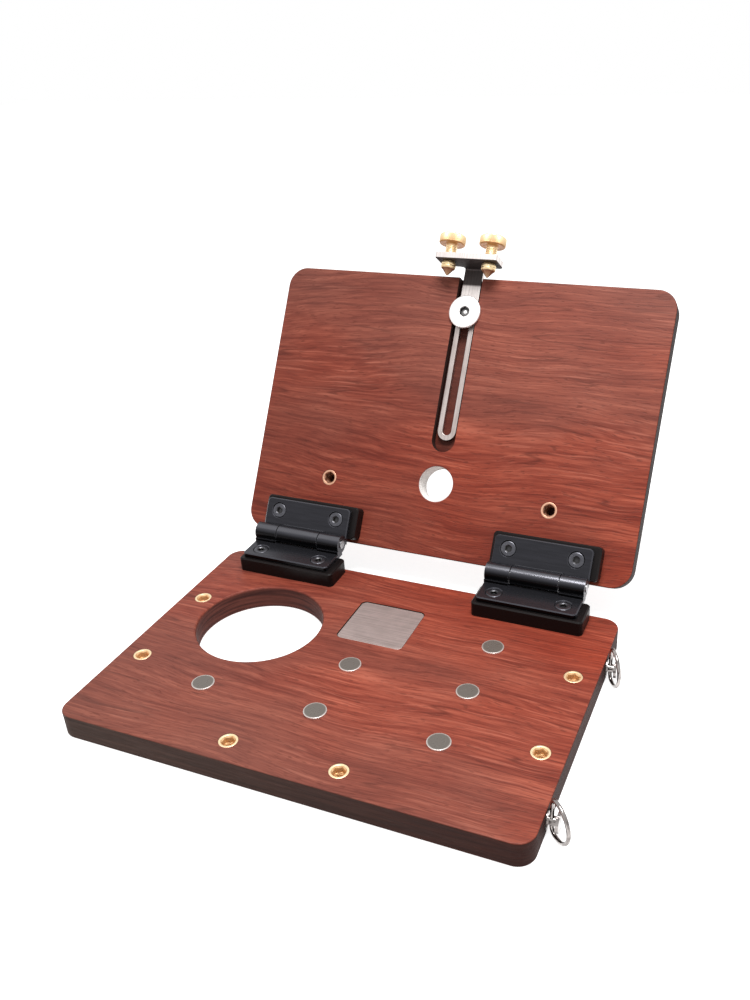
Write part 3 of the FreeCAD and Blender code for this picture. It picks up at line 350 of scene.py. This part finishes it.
class Finish:
    """A material being made: each method adds nodes and gives back the socket that they feed."""

    def __init__(self, name, roughness=0.5, metallic=0.0, **shader):
        self.material = bpy.data.materials.new(name)
        self.material.use_nodes = True
        self.tree = self.material.node_tree
        self.shader = self.tree.nodes["Principled BSDF"]
        self.set(roughness=roughness, metallic=metallic, **shader)

    def set(self, **sockets):
        for name, value in sockets.items():
            self.feed(self.shader.inputs[name.replace("_", " ").title().replace("Ior", "IOR")], value)

    def feed(self, socket, value):
        if isinstance(value, bpy.types.NodeSocket):
            self.tree.links.new(value, socket)
        else:
            socket.default_value = value

    def node(self, kind, inputs=(), **settings):
        made = self.tree.nodes.new(kind)
        for name, value in settings.items():
            setattr(made, name, value)
        for name, value in dict(inputs).items():
            self.feed(made.inputs[name], value)
        return made

    def place(self, source="Object", middle=(0, 0, 0), turn=(0, 0, 0)):
        """Object coordinates, or normals, about a middle and turned back by an angle."""
        start = self.node("ShaderNodeTexCoord").outputs[source]
        return self.node("ShaderNodeMapping", {"Vector": start, "Location": middle, "Rotation": turn},
                         vector_type="TEXTURE").outputs[0]

    def round_about(self):
        """A turned piece's own coordinates: cosine and sine of the angle, and metres along the profile."""
        return self.node("ShaderNodeAttribute", attribute_name="round_about").outputs["Vector"]

    def stretch(self, vector, factors):
        return self.node("ShaderNodeVectorMath", {0: vector, 1: factors}, operation="MULTIPLY").outputs[0]

    def parts(self, vector):
        return self.node("ShaderNodeSeparateXYZ", {0: vector}).outputs

    def dot(self, vector, way):
        """How far a vector reaches along a way."""
        made = self.node("ShaderNodeVectorMath", {0: vector, 1: way}, operation="DOT_PRODUCT")
        return made.outputs["Value"]

    def noise(self, vector, scale=1.0, detail=2.0, roughness=0.5):
        made = self.node("ShaderNodeTexNoise", {"Vector": vector, "Scale": scale, "Detail": detail,
                                                "Roughness": roughness})
        return made.outputs[0]

    def grain(self, vector, layer, detail=2.0, roughness=0.5):
        """The noise of one of the grain's layers."""
        return self.noise(self.stretch(vector, GRAIN[layer]), detail=detail, roughness=roughness)

    def spread(self, value, low, high, start=0.0, stop=1.0):
        """The value carried from the range low to high onto start to stop, and held at both ends."""
        made = self.node("ShaderNodeMapRange", {"Value": value, "From Min": low, "From Max": high,
                                                "To Min": start, "To Max": stop})
        return made.outputs[0]

    def sum(self, first, second, operation="ADD"):
        return self.node("ShaderNodeMath", {0: first, 1: second}, operation=operation).outputs[0]

    def times(self, first, second):
        return self.sum(first, second, "MULTIPLY")

    def size(self, value):
        """The value without its sign."""
        return self.sum(value, 0.0, "ABSOLUTE")

    def mix(self, share, first, second, way="MIX"):
        made = self.node("ShaderNodeMix", data_type="RGBA", blend_type=way)
        self.feed(made.inputs["Factor"], share)
        self.feed(made.inputs[6], first)
        self.feed(made.inputs[7], second)
        return made.outputs[2]

    def ramp(self, value, stops):
        """A colour that runs through stops, each a place from 0 to 1 and a tone."""
        made = self.node("ShaderNodeValToRGB", {0: value})
        elements = made.color_ramp.elements
        for element, (place, tone) in zip(elements, (stops[0], stops[-1])):
            element.position, element.color = place, paint(*tone)
        for place, tone in stops[1:-1]:
            elements.new(place).color = paint(*tone)
        return made.outputs[0]

    def bump(self, height, distance):
        return self.node("ShaderNodeBump", {"Height": height, "Distance": distance}).outputs[0]

    def edges(self, radius):
        """How sharply the surface turns within a radius: 0 on a flat, near 1 on an edge."""
        eased = self.node("ShaderNodeBevel", {"Radius": radius}, samples=4).outputs[0]
        true = self.node("ShaderNodeNewGeometry").outputs["Normal"]
        return self.spread(self.dot(eased, true), 0.8, 0.995, 1.0, 0.0)

    def edge_wear_and_highlight(self, colour, wear_and_highlight_tone, share=EDGE_SHARE):
        """The colour, with its edges lightened towards another, partly as wear and partly as painted
        highlight.
        """
        return self.mix(self.times(self.edges(EDGE_REACH), share), colour, wear_and_highlight_tone)


def wave_grain(finish, spot):
    """Places on the board moved across the fibres by a slow sway and a small flutter."""
    sway = finish.sum(finish.grain(spot, "sway", 1.0), -0.5)
    flutter = finish.sum(finish.grain(spot, "flutter", 1.0), -0.5)
    shift = finish.sum(finish.times(sway, 0.034), finish.times(flutter, 0.0028))
    lifted = finish.node("ShaderNodeCombineXYZ", {1: shift, 2: finish.times(shift, 0.4)}).outputs[0]
    return finish.node("ShaderNodeVectorMath", {0: spot, 1: lifted}).outputs[0]


def grain_colour(finish, spot, waved, fibres, hairs):
    """Wavy fibres, light streaks in some parts, and thin growth lines where a slow noise crosses levels."""
    bands = finish.grain(waved, "bands")
    tone = finish.sum(finish.times(bands, 0.24), finish.times(fibres, 0.48))
    tone = finish.sum(tone, finish.times(hairs, 0.28))
    colour = finish.ramp(finish.spread(tone, 0.37, 0.63), FIBRE_TONES)

    streaks = finish.spread(finish.grain(waved, "streaks", 1.0), 0.56, 0.68)
    streaky = finish.spread(finish.grain(spot, "streaky_parts", 1.0), 0.4, 0.62)
    colour = finish.mix(finish.times(finish.times(streaks, streaky), 0.42), colour, paint(*STREAK_TONE))

    levels = finish.sum(finish.times(finish.grain(waved, "growth"), GROWTH_LINES), 0.0, "FRACT")
    lines = finish.spread(finish.size(finish.sum(levels, -0.5)), 0.01, 0.085, 1.0, 0.0)
    lined = finish.spread(finish.grain(spot, "lined_parts", 1.0), 0.42, 0.58)
    return finish.mix(finish.times(finish.times(lines, lined), 0.6), colour, paint(*LINE_TONE))


def tint_board(finish, colour, spot, glow, lit, fade):
    """The board's colour: redder along glow and greyer against it, a painted sheen that the patches vary at
    random, and darker against lit, a painted shade.
    """
    redder = finish.sum(finish.spread(finish.dot(spot, glow), -1.0, 1.0, -0.4, 0.4),
                        finish.grain(spot, "patches"))
    red_share = finish.spread(redder, 0.4, 0.95, 0.0, 0.62)
    colour = finish.mix(red_share, colour, paint(*RED_TONE), "SOFT_LIGHT")
    # Painted sheen: greyer against glow, varied at random by the patches
    painted_sheen_share = finish.spread(redder, 0.05, 0.55, 0.4, 0.0)
    colour = finish.mix(painted_sheen_share, colour, paint(*GREY_SHEEN_TONE))
    # Painted shade: darker against the lit direction
    painted_shade_share = finish.spread(finish.dot(spot, lit), *fade, 0.36, 0.0)
    return finish.mix(painted_shade_share, colour, paint(*PAINTED_SHADE_TONE))


def wood(name, middle, turn, glow, lit, fade, hole, wall_tones, edge_tones):
    """Reddish brown hardwood with short dark pores. Its edges are darker, each from its left to its right
    tone, its round hole has a wall of its own, and the floors of its pockets take painted shade. Middle is on
    the front face, and hole is the middle and the radius of the round hole."""
    finish = Finish(name, specular_ior_level=0.16)
    spot = finish.place(middle=middle, turn=turn)
    right, _, height = finish.parts(spot)
    waved = wave_grain(finish, spot)
    fibres = finish.grain(waved, "fibres", 3.0, 0.62)
    hairs = finish.grain(waved, "hairs", 2.0, 0.6)
    colour = grain_colour(finish, spot, waved, fibres, hairs)
    colour = tint_board(finish, colour, spot, glow, lit, fade)
    pores = finish.spread(finish.grain(waved, "pores", 0.0), 0.65, 0.75)
    colour = finish.mix(finish.times(pores, 0.45), colour, paint(*PORE_TONE))

    facing = finish.parts(finish.place("Normal", turn=turn))[2]
    edge = finish.spread(finish.size(facing), 0.3, 0.85, 1.0, 0.0)
    layers = finish.grain(spot, "layers", 3.0)
    ends = finish.spread(right, -EDGE_TONE_REACH, EDGE_TONE_REACH)
    left_dark, right_dark, left_light, right_light = [paint(*tone) for tone in edge_tones]
    # The edges' darker tones, from left to right
    dark_edge_colour = finish.mix(finish.spread(layers, 0.3, 0.7), finish.mix(ends, left_dark, right_dark),
                         finish.mix(ends, left_light, right_light))
    hole_middle, hole_radius = hole
    inside = finish.node("ShaderNodeVectorMath", {0: finish.stretch(spot, (1.0, 1.0, 0.0)), 1: hole_middle},
                         operation="DISTANCE").outputs["Value"]
    inside = finish.spread(inside, hole_radius + 0.0004, hole_radius + 0.003, 1.0, 0.0)
    wall = finish.mix(finish.spread(layers, 0.32, 0.68), *[paint(*tone) for tone in wall_tones])
    colour = finish.mix(edge, colour, finish.mix(inside, dark_edge_colour, wall))
    # Painted shade on the floors of pockets, below the front face
    painted_pocket_shade = finish.times(finish.spread(height, -0.003, -0.0015, 1.0, 0.0), finish.spread(facing, 0.5, 0.8))
    colour = finish.mix(finish.times(painted_pocket_shade, 0.7), colour, paint(*POCKET_SHADE_TONE))

    relief = finish.sum(finish.sum(finish.times(fibres, 0.5), hairs), pores, "SUBTRACT")
    finish.set(base_color=colour, normal=finish.bump(relief, 0.00004),
               roughness=finish.sum(finish.spread(hairs, 0.3, 0.7, 0.52, 0.42), finish.times(edge, 0.25)))
    return finish.material


def metal(name, light, dark, roughness, stretch, bump=0.00001, wear_and_highlight_tone=None, turned=None, metallic=1.0,
          gloss=0.5):
    """A metal or a lacquer: two tones mixed by brush marks and by slow clouds, some with edges lightened
    partly as wear and partly as painted highlight. On a turned piece the marks run round it, and the parts
    that its shade attribute marks take painted shade, going towards the tone that turned names."""
    finish = Finish(name, metallic=metallic, specular_ior_level=gloss)
    around = finish.round_about() if turned else finish.place()
    marks = finish.noise(finish.stretch(around, stretch), detail=2.0)
    clouds = finish.noise(finish.place(), 130.0, 3.0)
    share = finish.sum(finish.times(marks, 0.65), finish.times(clouds, 0.35))
    colour = finish.mix(finish.spread(share, 0.36, 0.64), paint(*light), paint(*dark))
    # Edges lightened partly as wear and partly as painted highlight
    if wear_and_highlight_tone:
        colour = finish.edge_wear_and_highlight(colour, paint(*wear_and_highlight_tone))
    # Painted shade where the shade attribute marks a turned piece: under heads, in bores and sockets
    if turned:
        shade = finish.node("ShaderNodeAttribute", attribute_name="shade").outputs["Fac"]
        colour = finish.mix(shade, colour, paint(*turned))
        finish.set(metallic=finish.spread(shade, 0.0, 1.0, metallic, metallic * 0.2))
    rough = finish.spread(share, 0.35, 0.65, roughness - 0.06, roughness + 0.08)
    finish.set(base_color=colour, roughness=rough, normal=finish.bump(marks, bump))
    return finish.material


def hinge_black():
    """Satin black hinges with a painted highlight along the top of the barrel and painted shade under it, and
    edges lightened partly as wear and partly as painted highlight.
    """
    finish = Finish("hinge_black", metallic=0.8, specular_ior_level=0.3)
    marks = finish.noise(finish.stretch(finish.place(), (60.0, 700.0, 700.0)), detail=2.0)
    colour = finish.mix(finish.spread(marks, 0.3, 0.7), paint(68, 68, 74), paint(58, 58, 63))
    normal = finish.node("ShaderNodeTexCoord").outputs["Normal"]
    # Painted highlight along the top of the barrel and painted shade under it
    over = finish.spread(finish.dot(normal, BARREL_HIGHLIGHT_WAY), 0.94, 0.99)
    under = finish.spread(finish.dot(normal, BARREL_SHADE_WAY), 0.2, 0.55)
    colour = finish.mix(over, colour, paint(92, 92, 97))
    colour = finish.mix(under, colour, paint(15, 14, 16))
    colour = finish.edge_wear_and_highlight(colour, paint(112, 112, 118), 0.7)
    finish.set(base_color=colour, roughness=finish.spread(marks, 0.3, 0.7, 0.2, 0.3),
               normal=finish.bump(marks, 0.000006))
    return finish.material


def slider_steel():
    """Brushed steel: a painted highlight makes it brighter towards the clamp's end, painted shade lies under
    the head and at the neck, and its edges are lightened partly as wear and partly as painted highlight.
    """
    finish = Finish("slider_steel", metallic=1.0)
    spot = finish.place(middle=tuple(LID.origin), turn=(LID_ANGLE, 0, 0))
    marks = finish.noise(finish.stretch(spot, (1400.0, 40.0, 400.0)), detail=2.0)
    clouds = finish.noise(spot, 120.0, 3.0)
    share = finish.sum(finish.times(marks, 0.6), finish.times(clouds, 0.4))
    _, up, out = finish.parts(spot)
    # Painted highlight: the head end is a lighter copy of the legs' steel
    legs = finish.mix(finish.spread(share, 0.36, 0.64), paint(206, 194, 190), paint(166, 154, 150))
    head = finish.mix(finish.spread(share, 0.36, 0.64), paint(236, 228, 224), paint(204, 195, 192))
    colour = finish.mix(finish.spread(up, 0.135, 0.162), legs, head)
    colour = finish.edge_wear_and_highlight(colour, paint(240, 234, 230))
    facing = finish.parts(finish.place("Normal", turn=(LID_ANGLE, 0, 0)))
    # Painted shade under the head and at the neck
    under = finish.spread(facing[1], -0.9, -0.3, 1.0, 0.0)
    neck = finish.times(finish.spread(up, 0.1674, 0.1686), finish.spread(out, 0.006, 0.011, 1.0, 0.0))
    neck = finish.times(neck, finish.spread(facing[2], 0.2, 0.6))
    shade = finish.sum(under, neck, "MAXIMUM")
    colour = finish.mix(finish.times(shade, 0.93), colour, paint(52, 44, 44))
    rough = finish.sum(finish.spread(share, 0.35, 0.65, 0.3, 0.42), finish.times(shade, 0.2))
    finish.set(base_color=colour, roughness=rough, normal=finish.bump(marks, 0.00002))
    return finish.material


def dress(names, material):
    for name in names:
        node = frame["nodes"][name]
        node.data.materials.clear()
        node.data.materials.append(material)


def make_finishes():
    """All the materials by name, and the CAD nodes that keep their shape dressed in them."""
    finishes = {name: metal(**recipe) for name, recipe in METALS.items()}
    lid_middle = tuple(LID.origin + LID.axes[1] * BOARD_HALF_DEPTH)
    dress(["lower_board"], wood("lower_board_wood", (0.0, 0.0, BOARD_TOP), (0, 0, 0), **LOWER_LOOK))
    dress(["upper_board"], wood("upper_board_wood", lid_middle, (LID_ANGLE, 0, 0), **UPPER_LOOK))
    dress(["blank_plate"], finishes["plate"])
    dress(["slider"], slider_steel())
    dress(["lock_nut"], finishes["pin_steel"])
    leaf_black = hinge_black()
    for side in BOTH:
        dress([f"hinge_base_block_{side}", f"hinge_lid_block_{side}"], finishes["block_black"])
        dress([f"hinge_lower_leaf_{side}", f"hinge_upper_leaf_{side}"], leaf_black)
        dress([f"hinge_pin_{side}"], finishes["pin_steel"])
        dress([f"hinge_friction_sleeve_{side}"], finishes["sleeve"])
    for place in ("front", "rear"):
        dress([f"strap_stud_{place}", f"strap_ring_{place}"], finishes["chrome"])
    return finishes


# Pieces

def corner_spots(place_frame, name, radius):
    """The middles of a node's round solids that stand at the corners of its outline."""
    low, high = place_frame.reach(name)
    middle = (low + high) / 2
    apart = (high - low) / 2 - radius
    columns = (-apart[0], apart[0]) if apart[0] > radius else (0.0,)
    rows = (-apart[1], apart[1]) if apart[1] > radius else (0.0,)
    return [(middle[0] + x, middle[1] + y, 0.0) for x in columns for y in rows]


def make_thumbscrews(finish):
    """Knurled brass heads on threaded shanks, their ends in the swivel tips. Painted shade lies under each
    head and grows down its side.
    """
    neck, shank, relief, waist = 2.0, 3.55, 3.2, 4.4
    neck_height, head_height = 3.0, 5.8
    for side in BOTH:
        name = f"thumbscrew_{side}"
        low, high = LID.reach(name)
        head = (high[0] - low[0]) / 2
        bottom, top = low[1], high[1]
        head_low = top - head_height
        neck_top = bottom + neck_height
        rows = profile(
            at(0, bottom), at(neck, bottom, 0.3), at(neck, neck_top), at(3.0, neck_top + 0.05, 0.1),
            at(shank, neck_top + 0.6), at(shank, neck_top + 1.2, thread=1.0),
            at(shank, head_low - 1.2, thread=1.0),
            at(relief, head_low - 0.9), at(relief, head_low - 0.4, 0.3, shade=0.6),
            at(waist, head_low + 0.1, 0.3, shade=1.0), at(head - 0.6, head_low, 0.3, shade=1.0),
            at(head, head_low + 0.6, 0.3, shade=0.75), at(head, head_low + 0.9, knurl=1.0, shade=0.6),
            at(head, top - 2.4, knurl=1.0, shade=0.15), at(head, top - 1.05, knurl=1.0),
            at(head - 0.1, top - 0.75, 0.4), at(head - 1.1, top, 0.5), at(head - 2.2, top, 0.2),
            at(head - 2.6, top - 0.25, 0.2), at(0, top - 0.2), step=0.24)
        spot = ((low[0] + high[0]) / 2, 0.0, (low[2] + high[2]) / 2)
        shell = Shell()
        shell.add_turned(rows, spot, LID, "y", THUMBSCREW_COLUMNS)
        shell.finish(f"knurled_{name}", finish, f"{side}_thumbscrew", "brass", [name])


def make_tips(finish):
    """Swivel tips: a rounded collar over a pointed cone, bored from above for the screw's neck. The cone and
    the throat under the collar take painted shade.
    """
    point, cone, throat, bore = 0.5, 3.4, 3.9, 2.05
    collar_height, bore_depth = 4.3, 3.1
    for side in BOTH:
        name = f"thumbscrew_tip_{side}"
        low, high = LID.reach(name)
        radius = (high[0] - low[0]) / 2
        bottom, top = low[1], high[1]
        shoulder = top - collar_height
        bore_floor = top - bore_depth
        rows = profile(
            at(0, bottom, shade=0.7), at(point, bottom, 0.2, shade=0.7),
            at(cone, shoulder - 0.15, 0.2, shade=1.0),
            at(throat, shoulder + 0.1, 0.3, shade=0.8), at(radius, shoulder + 0.9, 0.8),
            at(radius, shoulder + 2.0, 0.2), at(radius - 0.2, shoulder + 2.2, 0.15),
            at(radius, shoulder + 2.4, 0.2), at(radius, top - 0.5, 0.6), at(radius - 0.7, top, 0.4),
            at(2.6, top, 0.2), at(bore, top - 0.4, 0.2), at(bore, bore_floor, 0.3),
            at(0, bore_floor), step=0.4)
        spot = ((low[0] + high[0]) / 2, 0.0, (low[2] + high[2]) / 2)
        shell = Shell()
        shell.add_turned(rows, spot, LID, "y", DISC_COLUMNS)
        shell.finish(f"turned_{name}", finish, f"{side}_tip", "tip_brass", [name])


def make_inserts(finish, upper_shaded_finish):
    """Threaded inserts: a flat rim, a countersunk way into a six sided socket, and a threaded bore, with
    painted shade down the socket and the bore. Those in the upper board take a darker copy of the brass, a
    painted shade.
    """
    body_radius, socket, thread_bore, foot_bore = 4.2, 3.0, 2.9, 2.95
    # The upper inserts take the darker copy of the brass, a painted shade
    for place_frame, name, body, dressed in ((BASE, "side_inserts", "base", finish),
                                             (BASE, "front_inserts", "base", finish),
                                             (LID, "upper_inserts", "lid", upper_shaded_finish)):
        low, high = place_frame.reach(name)
        foot, top = low[2], high[2]
        rows = profile(
            at(foot_bore, foot, 0.2, shade=1.0), at(body_radius, foot, 0.3, shade=1.0),
            at(body_radius, top - 1.25), at(INSERT_RADIUS, top - 1.2, 0.1), at(INSERT_RADIUS, top, 0.35),
            at(3.75, top, 0.25, shade=0.1), at(3.25, top - 0.7, 0.2, six=0.6, shade=0.6),
            at(socket, top - 1.0, 0.1, six=1.0, shade=0.7), at(socket, top - 4.0, six=1.0, shade=0.9),
            at(thread_bore, top - 4.1, 0.1, shade=1.0), at(thread_bore, top - 4.5, shade=1.0),
            at(thread_bore, top - 4.8, thread=1.0, shade=1.0),
            at(thread_bore, foot + 0.5, thread=1.0, shade=1.0),
            at(foot_bore, foot, shade=1.0), step=0.17)
        shell = Shell()
        for spot in corner_spots(place_frame, name, INSERT_RADIUS):
            shell.add_turned(rows, spot, place_frame, "z", SMALL_COLUMNS, ring=True)
        shell.finish(f"threaded_{name}", dressed, body, "brass", [name])


def make_magnets(finish):
    """Disc magnets: a painted highlight on the softly rounded rim and painted shade on the flat face."""
    low, high = BASE.reach("tray_magnets")
    radius = MAGNET_RADIUS
    foot, top = low[2], high[2]
    columns = (low[0] + radius, (low[0] + high[0]) / 2, high[0] - radius)
    rows_back = (low[1] + radius, (low[1] + high[1]) / 2, high[1] - radius)
    taken = [(0, 0), (1, 0), (2, 0), (1, 1), (2, 1), (2, 2)]
    rows = profile(
        at(0, foot), at(radius, foot, 0.4), at(radius, top - 0.5), at(radius, top - 0.02, 0.45, shade=0.1),
        at(radius - 0.6, top, 0.2, shade=0.9), at(radius - 1.0, top, shade=1.0), at(0, top, shade=1.0),
        step=0.35)
    shell = Shell()
    for column, row in taken:
        shell.add_turned(rows, (columns[column], rows_back[row], 0.0), BASE, "z", DISC_COLUMNS)
    shell.finish("rounded_magnets", finish, "base", "magnet", ["tray_magnets"])


def make_hinge_screws(finish):
    """Countersunk screws: an eased rim, a flat head and a six sided socket, with painted shade in the socket
    and on the shank.
    """
    radius = SCREW_RADIUS
    shank, point, socket = 2.5, 1.6, 1.6
    for place_frame, level, body in ((BASE, "lower", "base"), (LID, "upper", "lid")):
        for side in BOTH:
            name = f"hinge_{level}_screws_{side}"
            low, high = place_frame.reach(name)
            foot, top = low[2], high[2]
            rows = profile(
                at(0, foot), at(point, foot, 0.3), at(shank, foot + 1.2), at(shank, top - 2.5, shade=1.0),
                at(radius - 0.55, top - 0.5, 0.1, shade=1.0), at(radius - 0.5, top - 0.25, 0.3, shade=0.3),
                at(radius - 1.0, top, 0.3), at(2.35, top, 0.2, shade=0.1),
                at(1.85, top - 0.35, 0.1, six=0.7, shade=0.9), at(socket, top - 0.5, six=1.0, shade=1.0),
                at(socket, top - 1.85, 0.1, six=1.0, shade=1.0), at(0, top - 1.9, shade=0.6), step=0.5)
            shell = Shell()
            for spot in corner_spots(place_frame, name, radius):
                shell.add_turned(rows, spot, place_frame, "z", SMALL_COLUMNS)
            shell.finish(f"socket_{name}", finish, body, "black_screw", [name])


def make_lock_screw(finish):
    """The flat lock screw: a wide thin head with an eased rim, a small six sided socket and its shank, with
    painted shade in the socket.
    """
    point, shank, collar, socket = 1.6, 2.5, 5.25, 2.5
    head_height, collar_height = 2.4, 2.75
    low, high = LID.reach("lock_screw")
    radius = (high[0] - low[0]) / 2
    foot, top = low[2], high[2]
    under = top - head_height
    collar_foot = under - collar_height
    rows = profile(
        at(0, foot), at(point, foot, 0.3), at(shank, foot + 0.5), at(shank, collar_foot),
        at(collar, collar_foot, 0.2), at(collar, under, 0.1), at(radius - 0.4, under, 0.2),
        at(radius, under + 0.3, 0.25), at(radius, top - 0.7, 0.4), at(radius - 0.8, top - 0.05, 0.5),
        at(3.4, top, 0.3), at(2.85, top - 0.4, 0.2, six=0.7, shade=0.9),
        at(socket, top - 0.7, six=1.0, shade=1.0), at(socket, top - 2.1, 0.1, six=1.0, shade=1.0),
        at(1.3, top - 2.2, 0.2, shade=0.8), at(1.0, top - 1.9, 0.1), at(0, top - 1.8), step=0.4)
    spot = ((low[0] + high[0]) / 2, (low[1] + high[1]) / 2, 0.0)
    shell = Shell()
    shell.add_turned(rows, spot, LID, "z", LOCK_COLUMNS)
    shell.finish("flat_lock_screw", finish, "lock_screw", "lock_steel", ["lock_screw"])


# Studio

def make_floor():
    """A wide pale floor that is white to the camera and in reflections, and still takes the shadow."""
    reach = FLOOR_REACH
    mesh = bpy.data.meshes.new("floor")
    mesh.from_pydata([(-reach, -reach, 0), (reach, -reach, 0), (reach, reach, 0), (-reach, reach, 0)],
                     [], [(0, 1, 2, 3)])
    floor = bpy.data.objects.new("floor", mesh)
    bpy.context.scene.collection.objects.link(floor)
    finish = Finish("floor", roughness=0.9, base_color=paint(*FLOOR_TONE), specular_ior_level=0.0)
    path = finish.node("ShaderNodeLightPath").outputs
    seen = finish.sum(finish.sum(path["Is Camera Ray"], path["Is Glossy Ray"], "MAXIMUM"),
                      path["Is Transmission Ray"], "MAXIMUM")
    finish.set(emission_color=(1, 1, 1, 1), emission_strength=finish.times(seen, FLOOR_GLOW))
    mesh.materials.append(finish.material)


def make_lamp(name, place, size, power):
    """A square soft lamp at a place, aimed at the middle of the board."""
    data = bpy.data.lights.new(name, "AREA")
    data.shape = "SQUARE"
    data.size = size
    data.energy = power
    lamp = bpy.data.objects.new(name, data)
    bpy.context.scene.collection.objects.link(lamp)
    lamp.location = place
    lamp.rotation_euler = (LIGHT_AIM - Vector(place)).to_track_quat("-Z", "Y").to_euler()


def make_world():
    """A white surrounding for the camera and for reflections, and an even grey light for the rest."""
    world = bpy.data.worlds.new("surroundings")
    bpy.context.scene.world = world
    world.use_nodes = True
    tree = world.node_tree
    background = tree.nodes["Background"]
    background.inputs[0].default_value = (1, 1, 1, 1)
    path = tree.nodes.new("ShaderNodeLightPath").outputs
    seen = path["Is Camera Ray"]
    for other in ("Is Glossy Ray", "Is Transmission Ray"):
        most = tree.nodes.new("ShaderNodeMath")
        most.operation = "MAXIMUM"
        tree.links.new(seen, most.inputs[0])
        tree.links.new(path[other], most.inputs[1])
        seen = most.outputs[0]
    strength = tree.nodes.new("ShaderNodeMapRange")
    tree.links.new(seen, strength.inputs["Value"])
    strength.inputs["To Min"].default_value = ROOM_LIGHT
    strength.inputs["To Max"].default_value = SEEN_LIGHT
    tree.links.new(strength.outputs[0], background.inputs[1])


def make_camera():
    """The camera at the photograph's place, turned by its roll about the way that it looks."""
    azimuth, elevation, roll = np.radians([CAMERA_AZIMUTH, CAMERA_ELEVATION, CAMERA_ROLL])
    out = np.cos(elevation)
    back = Vector((np.sin(azimuth) * out, -np.cos(azimuth) * out, np.sin(elevation)))
    level = Vector((0, 0, 1)).cross(back).normalized()
    upright = back.cross(level)
    right = level * np.cos(roll) + upright * np.sin(roll)
    up = upright * np.cos(roll) - level * np.sin(roll)
    data = bpy.data.cameras.new("camera")
    data.lens = CAMERA_LENS
    data.sensor_width = CAMERA_SENSOR
    data.shift_x, data.shift_y = CAMERA_SHIFT
    data.clip_start = CAMERA_NEAR
    camera = bpy.data.objects.new("camera", data)
    bpy.context.scene.collection.objects.link(camera)
    turn = Matrix((right, up, back)).transposed().to_4x4()
    camera.matrix_world = Matrix.Translation(CAMERA_PLACE) @ turn
    bpy.context.scene.camera = camera


made = make_finishes()
make_thumbscrews(made["brass"])
make_tips(made["tip_brass"])
make_inserts(made["insert_brass"], made["upper_shaded_brass"])
make_magnets(made["magnet"])
make_hinge_screws(made["screw_black"])
make_lock_screw(made["lock"])
make_floor()
make_lamp("top_lamp", LAMP_PLACE, LAMP_SIZE, LAMP_POWER)
make_world()
make_camera()
bpy.context.scene.view_settings.view_transform = "Standard"


def corners(box):
    return [list(box[0]), list(box[1])]
